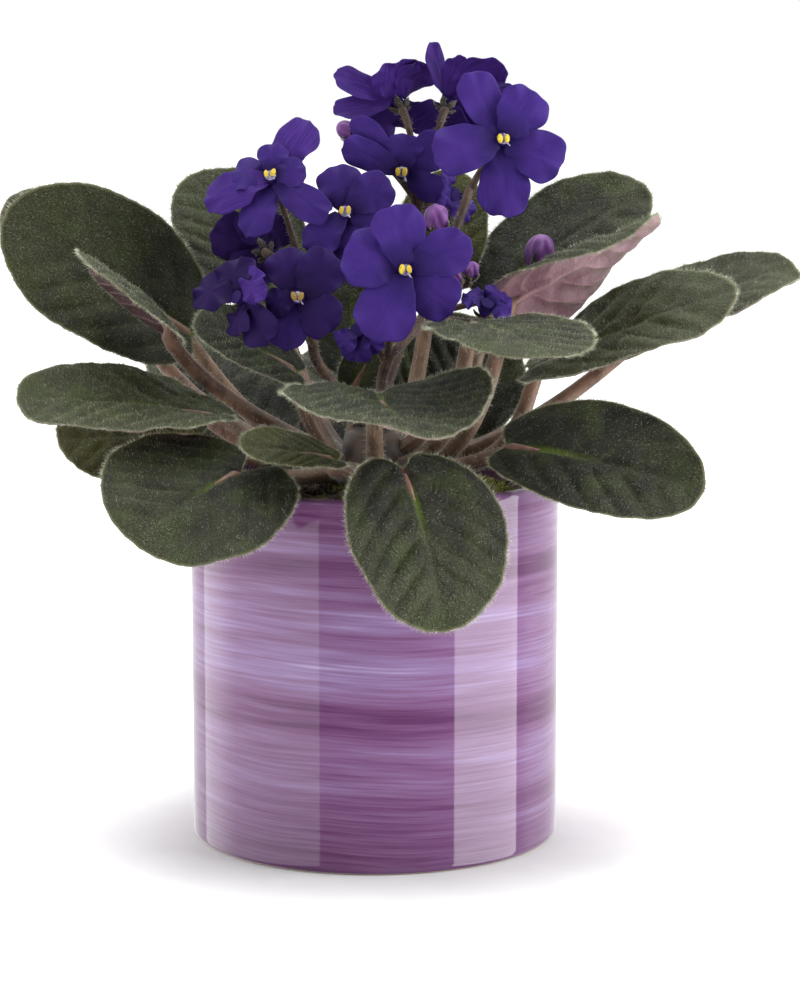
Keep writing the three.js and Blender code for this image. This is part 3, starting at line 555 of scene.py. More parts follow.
def relief(face, s, t, rho, seed):
    """How far the quilted face stands above the plain one, and the count of side veins passed."""
    away = np.abs(t)
    passed = (s - 0.62 * away - 0.32 * away ** 2 / face.half_width) / (face.length / VEIN_PAIRS)
    passed = passed + 0.4 * np.clip(-t / 3, 0, 1)
    pillow = np.abs(np.sin(np.pi * passed)) ** 0.6
    fade = np.clip(away / 5, 0, 1) * (1 - 0.75 * rho ** 6) * min(1, face.half_width / 22)
    rib = np.exp(-(t / 1.3) ** 2) * np.sqrt(np.clip(1 - s / face.length, 0, 1))
    places = np.stack([s, t], -1)
    waves = ripple(places, 34, seed) * 0.9 * rho ** 2 + ripple(places, 15, seed + 1) * 0.4
    waves = waves + ripple(places, 6, seed + 2) * 0.16
    return 1.25 * (pillow - 0.6) * fade - 0.9 * rib + waves * min(1, face.half_width / 22), passed


def outline(face, angle, lobe, seed):
    """The blade's reach from its middle, at angles round it."""
    half_length = (face.length + lobe) / 2
    oval = 1 / np.hypot(np.cos(angle) / half_length, np.sin(angle) / face.half_width)
    from_notch = np.pi - np.abs(np.where(angle > np.pi, angle - 2 * np.pi, angle))
    notch = lobe / half_length * np.exp(-((from_notch / NOTCH) ** 2))
    count = round((face.length + face.half_width * 2) * 1.6 / CRENATION)
    teeth = (0.004 * np.sin(count * angle + 2 * np.sin(2 * angle + seed)) + 0.01 * np.sin(3 * angle + seed)
             + 0.006 * np.sin(7 * angle + seed))
    return oval * (1 - notch + teeth)


def blade(leaf, number):
    """A blade with its hairs. leaf_place is s, t and 1 on the green face. leaf_vein is the side veins
    passed, how far out and how far along a point lies. leaf_tone is red, deep, which is painted
    shade, and the number."""
    face = Surface(leaf)
    lobe = leaf.get("lobe", 5)
    middle = (face.length - lobe) / 2
    spokes, rings = (72, 12) if leaf.get("rear") else (144, 24)
    seed = number * 7
    angle = np.linspace(0, 2 * np.pi, spokes, endpoint=False)
    edge = outline(face, angle, lobe, seed)
    rho = np.linspace(0, 1, rings + 1)[1:, None] ** 0.85
    s = middle + rho * edge * np.cos(angle)
    t = rho * edge * np.sin(angle)
    lift, passed = relief(face, s, t, rho, seed)
    top = face.place(s, t, -lift)
    thick = BLADE_THICKNESS * (1 - 0.55 * rho ** 5)
    rib = np.exp(-(t / 1.5) ** 2) * 1.5 * np.clip(1 - s / face.length, 0, 1)
    bottom = face.place(s, t, thick - lift * 1.15 + rib)
    reach = 1 + 0.2 / edge
    turned_edge = face.place(middle + edge * reach * np.cos(angle), edge * reach * np.sin(angle),
                             thick[-1] / 2 - lift[-1])
    body = np.concatenate([bottom, turned_edge[None], top[::-1]])
    centre_lift = relief(face, np.array([middle]), np.array([0.0]), np.array([0.0]), seed)[0]
    centre = face.place(middle, 0, np.array([1.9 - centre_lift[0], -centre_lift[0]]))
    points, faces = shell(body, centre[0], centre[1])

    def laid_out(values, first, last):
        full = np.broadcast_to(values, (rings, spokes))
        return np.concatenate([[first], np.concatenate([full, full[-1:], full[::-1]]).ravel(), [last]])

    green = np.concatenate([np.zeros((rings, spokes)), np.full((1, spokes), 0.6), np.ones((rings, spokes))])
    middle_passed = passed[0].mean()
    leaf_place = np.stack([
        laid_out(s, middle, middle), laid_out(t, 0, 0), np.concatenate([[0], green.ravel(), [1]]),
    ], 1)
    leaf_vein = np.stack([
        laid_out(passed, middle_passed, middle_passed), laid_out(rho, 0, 0),
        laid_out(s / face.length, middle / face.length, middle / face.length),
    ], 1)
    draw = np.random.default_rng(seed + 100)
    # deep is painted shade, and below zero painted light
    tone = (leaf.get("red", 0.25), leaf.get("deep", 0), number)
    made = Piece()
    made.add(points, faces, leaf_place=leaf_place, leaf_vein=leaf_vein, leaf_tone=tone)

    def rim_at(turn):
        return np.interp(turn, np.append(angle, 2 * np.pi), np.append(edge, edge[0]))

    # hairs round the rim and on both faces
    few = 0.45 if leaf.get("rear") else 1
    count = int(few * edge.sum() / spokes * 2 * np.pi * RIM_HAIRS)
    turn = draw.uniform(0, 2 * np.pi, count)
    s, t = middle + rim_at(turn) * np.cos(turn), rim_at(turn) * np.sin(turn)
    lift = relief(face, s, t, np.ones(count), seed)[0]
    root = face.place(s, t, draw.uniform(0, 0.5, count) - lift)
    beyond = face.place(s + 2 * np.cos(turn), t + 2 * np.sin(turn), -lift)
    above = unit(face.place(s, t, -lift - 1) - face.place(s, t, -lift))
    ways = unit(beyond - root) + above * draw.normal(0.15, 0.45, count)[:, None]
    ways += draw.normal(size=(count, 3)) * 0.2
    made.add(*hairs(root, ways, draw.uniform(0.8, 2.2, count), 0.11, draw), finish=1)
    upper = YOUNG_UPPER_HAIRS if leaf.get("young") else UPPER_HAIRS
    for side, density, length in ((1, upper, 1.25), (0, LOWER_HAIRS, 1.0)):
        count = int(few * density * edge.mean() ** 2 * np.pi)
        turn, part = draw.uniform(0, 2 * np.pi, count), np.sqrt(draw.uniform(0, 1, count))
        # the down is thinner towards the petiole
        kept = draw.uniform(0, 1, count) < 0.75 + 0.5 * part * np.cos(turn)
        turn, part = turn[kept], part[kept]
        count = len(turn)
        reach = part * rim_at(turn)
        s, t = middle + reach * np.cos(turn), reach * np.sin(turn)
        lift = relief(face, s, t, part, seed)[0]
        depth = -lift if side else 0.9 - lift * 1.15
        root = face.place(s, t, depth)
        ways = unit(face.place(s, t, depth - 1) - root) * (1 if side else -1)
        ways += draw.normal(size=(count, 3)) * 0.3 + face.along * 0.25
        made.add(*hairs(root, ways, draw.uniform(0.6, 1.2, count) * length, 0.09, draw), finish=1)
    return made


def leaf_finish(name, dark, light, green, rib_green, vein, under, under_light, tips):
    """Velvet leaf: dark cells between paler veins above, and a flushed lower face."""
    made, tree = blank(name)
    place, veins, tone = [
        node(tree, "Attribute", attribute_name=mark).outputs["Vector"]
        for mark in ("leaf_place", "leaf_vein", "leaf_tone")
    ]
    _, across, upper = node(tree, "SeparateXYZ", {"Vector": place}).outputs
    passed, outward, along = node(tree, "SeparateXYZ", {"Vector": veins}).outputs
    red, deep, own = node(tree, "SeparateXYZ", {"Vector": tone}).outputs
    # the net of small veins, cells about 3 mm across, a different part of the pattern on each leaf
    shift = node(tree, "CombineXYZ", {"X": own, "Y": own})
    apart = node(tree, "VectorMath", {0: shift, 1: (40.0, 17.0, 0.0), 2: place}, operation="MULTIPLY_ADD")
    flat = node(tree, "VectorMath", {0: apart, 1: (1.0, 1.0, 0.0)}, operation="MULTIPLY")
    bent = node(tree, "TexNoise", {"Vector": flat, "Scale": 0.35, "Detail": 2.0}).outputs["Color"]
    moved = node(tree, "VectorMath", {0: bent, 1: (3.0, 3.0, 0.0), 2: flat}, operation="MULTIPLY_ADD")
    cells = node(tree, "TexVoronoi", {"Vector": moved, "Scale": 0.36},
                 feature="DISTANCE_TO_EDGE", voronoi_dimensions="2D")
    net = node(tree, "MapRange", {"Value": cells, "From Max": 0.2}, interpolation_type="SMOOTHSTEP")
    netted = node(tree, "MapRange", {"Value": net, "To Min": 0.2, "To Max": 0.0})
    # side veins lie where the count is whole
    beside = node(tree, "Math", {0: passed, 1: 0.5}, operation="PINGPONG")
    lateral = node(tree, "MapRange",
                   {"Value": beside, "From Min": 0.01, "From Max": 0.1, "To Min": 1.0, "To Max": 0.0})
    veined = node(tree, "Math", {0: lateral, 1: 0.28}, operation="MULTIPLY")
    # the midrib is maroon at the petiole where the leaf is flushed, and yellow-green past it
    off_rib = node(tree, "Math", {0: across}, operation="ABSOLUTE")
    rib = node(tree, "MapRange",
               {"Value": off_rib, "From Min": 0.4, "From Max": 1.8, "To Min": 1.0, "To Max": 0.0},
               interpolation_type="SMOOTHSTEP")
    fading = node(tree, "MapRange",
                  {"Value": along, "From Min": 0.12, "From Max": 0.5, "To Min": 0.9, "To Max": 0.0})
    ribbed = node(tree, "Math", {0: rib, 1: fading}, operation="MULTIPLY")
    near = node(tree, "MapRange",
                {"Value": along, "From Min": 0.1, "From Max": 0.22, "To Min": 1.0, "To Max": 0.0})
    flushed = node(tree, "Math", {0: near, 1: red}, operation="MULTIPLY")
    rib_colour = node(tree, "Mix", {0: flushed, 6: rib_green, 7: "38181a"}, data_type="RGBA")
    # painted shade: the blade is drawn darkest round the petiole, where it lies in shade, and paler
    # and greyer towards its tip, mottled; brighter green patches are painted light
    mottle = node(tree, "TexNoise", {"Vector": flat, "Scale": 0.12, "Detail": 4.0})
    petiole_shade_with_mottle = node(tree, "Math", {0: along, 1: 0.5, 2: mottle}, operation="MULTIPLY_ADD")
    # deep darkens the leaf with painted shade, and below zero lightens it with painted light
    leaf_shade_with_mottle = node(tree, "Math", {0: deep, 1: -0.25, 2: petiole_shade_with_mottle}, operation="MULTIPLY_ADD")
    lit_share_with_mottle = node(tree, "MapRange", {"Value": leaf_shade_with_mottle, "From Min": 0.52})
    painted_light_patches = node(tree, "TexNoise", {"Vector": flat, "Scale": 0.07, "Detail": 2.0})
    painted_light_green = node(tree, "MapRange", {"Value": painted_light_patches, "From Min": 0.5, "From Max": 0.7, "To Max": 0.6})
    # a bloom of pale hair tips over dark pores, 0.6 mm apart
    speck = node(tree, "TexNoise", {"Vector": flat, "Scale": 1.5, "Detail": 4.0, "Roughness": 0.7})
    pitted = node(tree, "MapRange",
                  {"Value": speck, "From Min": 0.36, "From Max": 0.5, "To Min": 0.85, "To Max": 0.0})
    pale = node(tree, "MapRange", {"Value": speck, "From Min": 0.54, "From Max": 0.7, "To Max": 0.75})
    # the bloom is thinner where painted shade darkens the blade
    bloom_lit_share = node(tree, "MapRange", {"Value": lit_share_with_mottle, "To Min": 0.3})
    bloomed = node(tree, "Math", {0: pale, 1: bloom_lit_share}, operation="MULTIPLY")
    # the very rim is thin and pale
    rimmed = node(tree, "MapRange", {"Value": outward, "From Min": 0.975, "To Max": 0.45})
    # the lower face darkens towards maroon by red: partly the leaf's own flush, partly painted shade on lower
    # faces turned from the light
    wine_and_painted_shade = node(tree, "Math", {0: red, 1: 0.85}, operation="MULTIPLY")
    below_veins = node(tree, "Math", {0: lateral, 1: rib}, operation="MAXIMUM")
    lined = node(tree, "Math", {0: below_veins, 1: 0.4}, operation="MULTIPLY")
    sides = []
    for low, high, coats in (
        (under, under_light, [(wine_and_painted_shade, "33181c"), (lined, "b08a8c")]),
        (dark, light, [(painted_light_green, green), (pitted, "10120a"), (bloomed, tips), (netted, dark), (veined, vein),
                       (ribbed, rib_colour), (rimmed, "8c8c66")]),
    ):
        colour = node(tree, "Mix", {0: lit_share_with_mottle, 6: low, 7: high}, data_type="RGBA")
        for part, over in coats:
            colour = node(tree, "Mix", {0: part, 6: colour, 7: over}, data_type="RGBA")
        sides.append(colour)
    both = node(tree, "Mix", {0: upper, 6: sides[0], 7: sides[1]}, data_type="RGBA")
    swell = node(tree, "Math", {0: net, 1: 0.35, 2: speck}, operation="MULTIPLY_ADD")
    quilt = node(tree, "Bump", {"Height": swell, "Strength": 0.6, "Distance": 0.0006})
    skin = node(tree, "BsdfPrincipled", {
        "Base Color": both, "Roughness": 0.6, "Specular IOR Level": 0.3, "Sheen Weight": 0.22,
        "Sheen Roughness": 0.35, "Sheen Tint": "bccf92", "Normal": quilt,
    })
    node(tree, "OutputMaterial", {"Surface": skin})
    return made


# Grown leaves are dark grey-green over mauve, young ones olive over pale green.
grown_leaf = leaf_finish("grown velvet leaf", "0b0d05", "32351b", "374314", "566a18", "3c4220",
                         "785660", "a88b92", "6e7456")
young_leaf = leaf_finish("young velvet leaf", "1a1c02", "383806", "444806", "62621c", "525418",
                         "55503a", "6f694c", "56581c")

for number, leaf in enumerate(LEAVES, 1):
    young = leaf.get("young", False)
    blade(leaf, number).make(
        f"leaf_blade_{number:02d}", [young_leaf if young else grown_leaf, plant_hair],
        [f"leaf_{number:02d}"], "young_leaf" if young else "leaf",
    )

# The flower stalks
# Three upright hairy stalks stand on the crown. Each branches into thin pedicels, and a pedicel
# ends in a calyx of five narrow green-brown sepals that holds a flower or a bud.
# centre is the middle of a flower's throat and face the way it looks. A petal is its far end from
# the centre, its width and, where it isn't flat to the face, its turn about its own length in
# degrees. The shade number is painted shade, how much darker a flower that sits in shade is drawn.
# red lists the petals that turn their backs, and a bare flower is crumpled and shows no anthers.
FLOWERS = [
    dict(centre=(41, -12, 228), face=(0.08, -0.97, 0.2), petals=[
        (-22, -4, -5, 15), (-11, 2, 21, 12), (10, 1, 15, 15), (19, -2, -8, 15), (1, -6, -24, 15)]),
    dict(centre=(24, 15, 240), face=(0.2, 0.75, 0.6), petals=[
        (-6, -9, 18, 7, 55), (4, -9, 15, 8), (17, -10, 12, 14), (22, -3, 5, 11, 20), (12, 7, -9, 12),
        (1, 10, -13, 13), (-12, 7, -8, 11)]),
    dict(centre=(7, 15, 240), face=(-0.35, 0.7, 0.62), petals=[
        (-20, -9, 8, 8, 40), (-1, -9, 13, 16), (10, -4, 11, 14), (7, 9, -8, 11), (-9, 4, -13, 12),
        (-21, -6, -3, 7, 55)]),
    dict(centre=(9, 0, 217), face=(-0.15, -0.95, -0.1), petals=[
        (-19, -2, 9, 9), (-16, 0, 17, 8), (1, 0, 12, 11), (14, -2, 10, 12), (12, -3, -8, 9)], flower_painted_shade=0.15),
    dict(centre=(-33, -8, 216), face=(-0.15, -0.85, 0.5), petals=[
        (-21, 2, -9, 13), (-13, 3, 2, 12), (1, 4, 10, 9), (12, 8, 18, 12), (11, -2, 2, 9),
        (18, -11, -12, 10), (-7, -10, -17, 11)], flower_painted_shade=0.12, red=[0, 3]),
    dict(centre=(-9, -14, 205), face=(-0.1, -0.95, 0.3), petals=[
        (-12, -4, -12, 11), (-3, 4, 15, 13), (14, 1, 10, 12), (15, -3, -4, 11), (4, -7, -16, 13)],
         flower_painted_shade=0.25),
    dict(centre=(10, -45, 189), face=(0, -0.98, 0.16), petals=[
        (-10, -5, -21, 17), (-19, -1, 6, 17), (-3, 2, 20, 15), (20, -1, 9, 13), (15, -3, -12, 14)]),
    dict(centre=(-43, -28, 179), face=(-0.6, -0.6, 0.4), petals=[
        (-14, 6, 2, 12), (-3, 4, 12, 15), (9, -4, 6, 12), (9, -7, -13, 12), (-2, -7, -10, 9)],
         bare=True, flower_painted_shade=0.65, red=[2]),
    dict(centre=(-24, -27, 179), face=(0, -0.95, 0.2), petals=[
        (-10, 1, -3, 9), (-5, 3, 15, 13), (12, 2, 13, 14), (12, -3, -9, 13), (-6, -5, -15, 13)],
         flower_painted_shade=0.5),
    dict(centre=(26, 12, 209), face=(0.5, -0.4, -0.1), petals=[
        (-6, -8, 0, 9), (-3, -4, 8, 9), (7, 6, -9, 9)], bare=True),
    dict(centre=(36, -18, 176), face=(0.2, -0.6, 0.7), petals=[
        (-8, 1, 2, 9), (-3, 5, 5, 9), (5, 4, 4, 9), (8, -2, -1, 8)], bare=True),
    dict(centre=(-5, -31, 169), face=(-0.3, -0.9, 0.1), petals=[
        (-6, -1, -5, 8), (-1, -1, -10, 9), (6, -3, -6, 8)], bare=True),
    dict(centre=(-37, 2, 192), face=(-0.3, 0.85, 0.1), petals=[
        (-15, -4, 7, 14), (-3, 1, 13, 13), (9, 3, 9, 11), (7, 3, -9, 11), (-9, -2, -10, 12)], flower_painted_shade=0.4),
]
BUDS = [
    dict(centre=(54, 12, 190), along=(0.25, -0.1, 1), radius=4.6, half=6.2),
    dict(centre=(-9, 5, 230), along=(-0.7, -0.2, 0.6), radius=2.8, half=3.6),
    dict(centre=(31, -20, 187), along=(0.2, -0.3, 1), radius=2.4, half=2.8),
    dict(centre=(26, -22, 185), along=(-0.3, -0.4, 1), radius=1.9, half=2.3),
    dict(centre=(20, -14, 203), along=(-0.1, -0.5, 0.8), radius=3.8, half=4.8),
]
# rise is the stalk's way up; flowers and buds give the place where each pedicel leaves it
STALKS = [
    dict(name="front", rise=[(3, -5, 134.4), (3, -5, 138), (4, -25, 158), (15, -18, 171), (24, -9, 193),
                             (31, 0, 212)],
         flowers={1: (31, 0, 211), 7: (4, -25, 158), 11: (15, -18, 171), 12: (4, -25, 157)},
         buds={3: (19, -14, 181), 4: (18, -15, 179), 5: (22, -11, 189)}),
    dict(name="left", rise=[(-5, -1, 134.4), (-5, -1, 138), (-19, -9, 158), (-20, -8, 174), (-24, -7, 189)],
         flowers={5: (-24, -7, 188), 6: (-21, -8, 178), 8: (-20, -8, 172), 9: (-19, -9, 160),
                  13: (-22, -7, 182)}, buds={}),
    dict(name="rear", rise=[(1, 5, 134.4), (1, 5, 138), (8, 13, 158), (13, 15, 180), (14, 12, 198),
                            (15, 11, 212)],
         flowers={2: (15, 11, 211), 3: (14, 12, 204), 4: (14, 12, 199), 10: (13, 14, 190)},
         buds={1: (9, 14, 164), 2: (14, 12, 206)}),
]
TUBE_LENGTH = 5.0


def facing(direction):
    """The way a flower or bud looks, with its right and its top."""
    face = unit(direction)
    right = unit(np.array([1.0, 0, 0]) - face * face[0])
    top = np.cross(face, right)
    return face, right, top if top[2] >= 0 else -top


def curve_through(places, steps):
    """A smooth run of points through places, with steps to each span."""
    places = np.array(places, float)
    around = [2 * places[0] - places[1], *places, 2 * places[-1] - places[-2]]
    run = []
    for p0, p1, p2, p3 in zip(around, around[1:], around[2:], around[3:]):
        d0, d1, d2 = [math.sqrt(np.linalg.norm(b - a)) for a, b in ((p0, p1), (p1, p2), (p2, p3))]
        out = ((p1 - p0) / d0 - (p2 - p0) / (d0 + d1) + (p2 - p1) / d1) * d1
        back = ((p2 - p1) / d1 - (p3 - p1) / (d1 + d2) + (p3 - p2) / d2) * d1
        for u in np.linspace(0, 1, steps, endpoint=False):
            run.append(p1 * (2 * u ** 3 - 3 * u ** 2 + 1) + out * (u ** 3 - 2 * u ** 2 + u)
                       + p2 * (3 * u ** 2 - 2 * u ** 3) + back * (u ** 3 - u ** 2))
    return np.array([*run, places[-1]])


def sepal(foot, out, face, length, width, hug):
    """A narrow pointed sepal that leaves foot along out and leans to face by hug."""
    u = np.linspace(0, 1, 9)[:, None]
    side = np.cross(face, out)
    spine = foot + out * length * u * (1 - hug * u * 0.6) + face * length * (0.12 * u + hug * u ** 1.6)
    half = width / 2 * (np.sin(np.pi * np.clip(u * 0.9 + 0.12, 0, 1)) ** 0.8 + 0.02)
    turn = np.linspace(0, 2 * np.pi, 8, endpoint=False)
    rings = (spine[:, None] + side * (np.cos(turn)[None, :, None] * half[:, None])
             + face * (np.sin(turn)[None, :, None] * half[:, None] * 0.35))
    return rings[::-1] if np.dot(np.cross(side, face), out) < 0 else rings


def calyx(piece, foot, direction, reach, hug, draw):
    """Five sepals round the end of a pedicel."""
    face, right, _ = facing(direction)
    for number in range(5):
        turn = 2 * np.pi * (number + 0.5) / 5
        out = right * math.cos(turn) + np.cross(face, right) * math.sin(turn)
        rings = sepal(foot + out * 0.8, out, face, reach * draw.uniform(0.85, 1.08), 2.1, hug)
        piece.add(*capped(rings), stem_place=(0.9, 1.0, number / 5))
        piece.add(*stem_hairs(rings, 26, 0.8, 0.1, draw), finish=1)


# Stalk skin: dull brown with a red flush, and greener on the sepals.
stalk_skin, tree = blank("flower stalk skin")
mark = node(tree, "Attribute", attribute_name="stem_place").outputs["Vector"]
_, on_sepal, _ = node(tree, "SeparateXYZ", {"Vector": mark}).outputs
where = node(tree, "TexCoord").outputs["Object"]
mottle = node(tree, "TexNoise", {"Vector": where, "Scale": 220.0, "Detail": 3.0})
ruddy = node(tree, "ValToRGB", {"Fac": mottle}, stops=[(0.35, "341f18"), (0.55, "4a3122"), (0.75, "684c34")])
green = node(tree, "ValToRGB", {"Fac": mottle}, stops=[(0.35, "251c12"), (0.6, "382b1a"), (0.8, "524626")])
mixed = node(tree, "Mix", {0: on_sepal, 6: ruddy, 7: green}, data_type="RGBA")
pores = node(tree, "Bump", {"Height": mottle, "Strength": 0.25, "Distance": 0.0003})
skin = node(tree, "BsdfPrincipled",
            {"Base Color": mixed, "Roughness": 0.55, "Sheen Weight": 0.2, "Normal": pores})
node(tree, "OutputMaterial", {"Surface": skin})

draw = np.random.default_rng(31)
for spec in STALKS:
    stalk = Piece()
    rise = curve_through(spec["rise"], 9)
    rings = tube(rise, np.linspace(2.0, 1.4, len(rise)), 12)
    stalk.add(*capped(rings))
    stalk.add(*stem_hairs(rings, 700, 1.3, 0.12, draw), finish=1)
    # where each pedicel ends, which way, how far behind the centre, its start, and its calyx
    ends = [(FLOWERS[n - 1]["centre"], FLOWERS[n - 1]["face"], TUBE_LENGTH + 0.75, start, 5.0, 0.5)
            for n, start in spec["flowers"].items()]
    ends += [(BUDS[n - 1]["centre"], BUDS[n - 1]["along"], BUDS[n - 1]["half"] + 0.75, start,
              BUDS[n - 1]["half"] * 1.5, 0.75) for n, start in spec["buds"].items()]
    for centre, direction, back, start, reach, hug in ends:
        face = unit(direction)
        end = np.array(centre, float) - face * back
        start = np.array(start, float)
        span = np.linalg.norm(end - start)
        first = start + (end - start) * 0.3 + [0, 0, span * 0.12]
        path = bezier(start, first, end - face * min(12, span * 0.35), end, 16)
        rings = tube(path, np.interp(np.linspace(0, 4, 16), range(5), [1.3, 1.1, 1.05, 1.1, 1.5]), 10)
        stalk.add(*capped(rings))
        stalk.add(*stem_hairs(rings, int(span * 7), 1.1, 0.11, draw), finish=1)
        calyx(stalk, end, direction, reach, hug, draw)
    stalk.make(f"hairy_stalk_{spec['name']}", [stalk_skin, plant_hair],
               [f"flower_stalk_{spec['name']}"], "flower_stalk")

# The flowers
# Five or more rounded petals join in a short tube, which the calyx holds. They are soft and thin,
# deep violet-blue with a fine glisten, redder behind, their rims waved.
PETAL_START = 1.3
PETAL_LAYER = 1.3
PETAL_SPOKES = 48
PETAL_RINGS = 11
PETAL_MIDDLE = 0.55
PETAL_WIDEST = 0.66
PETAL_THICKNESS = 0.55
PETAL_CREASE = 0.35
CRUMPLE = 1.7


def petal_outline(reach, width):
    """Places [u, v] round a petal: narrow at the throat, widest past the middle, round at the end."""
    past = 1 - PETAL_WIDEST
    u = np.concatenate([np.linspace(0, PETAL_WIDEST, 9),
                        PETAL_WIDEST + past * np.sin(np.linspace(0.13, 1, 12) * np.pi / 2)])
    half = 0.56 * np.where(u < PETAL_WIDEST, np.sin(np.clip((u + 0.17) / 0.83, 0, 1) * np.pi / 2),
                           np.clip(1 - (np.clip(u - PETAL_WIDEST, 0, 1) / past) ** 2.3, 0, 1) ** 0.5)
    edge = np.concatenate([np.stack([u, half], 1), np.stack([u, -half], 1)[-2::-1]])
    length = np.concatenate([[0], np.cumsum(np.hypot(*(np.diff(edge, axis=0) * [reach, width]).T))])
    at = np.linspace(0, length[-1], PETAL_SPOKES, endpoint=False)
    return np.stack([np.interp(at, length, edge[:, 0]), np.interp(at, length, edge[:, 1])], 1)[::-1]


def petal(piece, flower, index, draw):
    """One petal, laid out about its middle and bent to its place. petal_place is how far out and
    across a point lies and 1 on the front. petal_tone is the petal's number, length and darkness,
    which is painted shade with a little random tone."""
    dx, dy, dz, width, *lean = flower["petals"][index]
    face = unit(flower["face"])
    out = np.array([dx, dy, dz], float)
    reach = np.linalg.norm(out)
    out = out / reach
    across = unit(np.cross(face, out))
    angle = math.radians((lean[0] if lean else 0) + 6)
    across = across * math.cos(angle) + np.cross(out, across) * math.sin(angle)
    normal = np.cross(out, across)
    last = len(flower["petals"]) - 1
    layer = 2 if index == last and last % 2 == 0 else index % 2
    edge = petal_outline(reach, width)
    turn = np.arctan2(edge[:, 1], edge[:, 0] - PETAL_MIDDLE)
    wave = draw.uniform(0, 2 * np.pi, 4)
    notch = 1 + 0.03 * np.sin(4 * turn + wave[0]) + 0.022 * np.sin(9 * turn + wave[1])
    rho = np.linspace(0, 1, PETAL_RINGS + 1)[1:, None] ** 0.8
    spread = [PETAL_MIDDLE, 0] + (edge - [PETAL_MIDDLE, 0]) * rho[..., None] * notch[:, None]
    u, v = spread[..., 0], spread[..., 1] * 2
    ruffle = (np.sin(5 * turn + wave[2]) + 0.7 * np.sin(8 * turn + wave[3])) * rho ** 3 * width * 0.045
    ruffle = ruffle + draw.uniform(-0.8, 0.8) * u ** 2 + draw.uniform(-0.6, 0.6) * v * u
    ruffle = ruffle * (CRUMPLE if flower.get("bare") else 1)
    crease = -PETAL_CREASE * np.exp(-(v / 0.12) ** 2) * (1 - u)
    height = 4 * u * (1 - u) - np.abs(v) ** 1.5 * 0.9 * u + ruffle + crease
    height = height - 0.12 * width * np.clip(u - 0.75, 0, 1) ** 2 * 4
    origin = np.array(flower["centre"], float) - face * layer * PETAL_LAYER
    distance = PETAL_START + (reach - PETAL_START) * u
    thick = PETAL_THICKNESS * (1 - 0.5 * rho ** 4)
    top = (origin + distance[..., None] * out + (v / 2 * width)[..., None] * across
           + height[..., None] * normal)
    bottom = top - thick[..., None] * normal
    rim_ring = (top[-1] + bottom[-1]) / 2 + unit(top[-1] - top[-2]) * 0.12
    rings = np.concatenate([bottom, rim_ring[None], top[::-1]])
    rise = (4 * PETAL_MIDDLE - PETAL_CREASE) * (1 - PETAL_MIDDLE)
    middle = origin + out * (PETAL_START + (reach - PETAL_START) * PETAL_MIDDLE) + normal * rise
    points, faces = shell(rings, middle - normal * PETAL_THICKNESS, middle)
    # painted shade for a flower that sits in shade, with a little random tone
    darkened = flower.get("flower_painted_shade", 0) + draw.uniform(0, 0.25)
    front, dark = (0.1, 0) if index in flower.get("red", []) else (1.0, darkened)
    side = np.concatenate([np.zeros(u.shape), np.full((1, PETAL_SPOKES), 0.5), np.full(u.shape, front)])
    marks = [np.concatenate([w, w[-1:], w[::-1]]) for w in (u, v)]
    place = np.stack([*marks, side], -1).reshape(-1, 3)
    place = np.concatenate([[(PETAL_MIDDLE, 0, 0)], place, [(PETAL_MIDDLE, 0, 1)]])
    piece.add(points, faces, petal_place=place, petal_tone=(index, reach, dark))


# Fresh petal: violet-blue velvet that glistens, with fine darker veins that fan out from the
# throat. The back is a little redder, with stronger veins. Paler clouds on the front are painted
# light, the front is drawn darker towards the throat, partly its own colour and partly painted
# shade, and flowers that sit in shade are darkened with painted shade.
petal_skin, tree = blank("violet petal")
mark = node(tree, "Attribute", attribute_name="petal_place").outputs["Vector"]
tone = node(tree, "Attribute", attribute_name="petal_tone").outputs["Vector"]
outward, _, front_side = node(tree, "SeparateXYZ", {"Vector": mark}).outputs
_, _, flower_painted_shade = node(tree, "SeparateXYZ", {"Vector": tone}).outputs
where = node(tree, "TexCoord").outputs["Object"]
# veins about 0.7 mm apart at the rim, closing towards the throat
fan = node(tree, "VectorMath", {0: mark, 1: (2.2, 11.0, 1.0), 2: tone}, operation="MULTIPLY_ADD")
lines = node(tree, "TexNoise", {"Vector": fan, "Scale": 1.0, "Detail": 3.0})
cloud = node(tree, "TexNoise", {"Vector": where, "Scale": 110.0, "Detail": 3.0})
cells = node(tree, "TexNoise", {"Vector": where, "Scale": 1900.0, "Detail": 1.0})
front = node(tree, "ValToRGB", {"Fac": lines}, stops=[(0.25, "341f6a"), (0.5, "382270"), (0.75, "3c2677")])
# paler clouds that stand for lit patches: painted light
painted_light_clouds = node(tree, "MapRange", {"Value": cloud, "From Min": 0.4, "From Max": 0.7, "To Max": 0.45})
clouded_with_painted_light = node(tree, "Mix", {0: painted_light_clouds, 6: front, 7: "4a2e84"}, data_type="RGBA")
# darker towards the throat: partly the petal's own deeper foot, partly painted shade in the throat
throat_shade_and_colour = node(tree, "MapRange",
             {"Value": outward, "From Min": 0.05, "From Max": 0.6, "To Min": 0.75, "To Max": 0.0},
             interpolation_type="SMOOTHSTEP")
throat = node(tree, "Mix", {0: throat_shade_and_colour, 6: clouded_with_painted_light, 7: "1b1046"}, data_type="RGBA")
back = node(tree, "ValToRGB", {"Fac": lines}, stops=[(0.25, "2c185a"), (0.5, "3a206c"), (0.75, "4a2a7e")])
both = node(tree, "Mix", {0: front_side, 6: back, 7: throat}, data_type="RGBA")
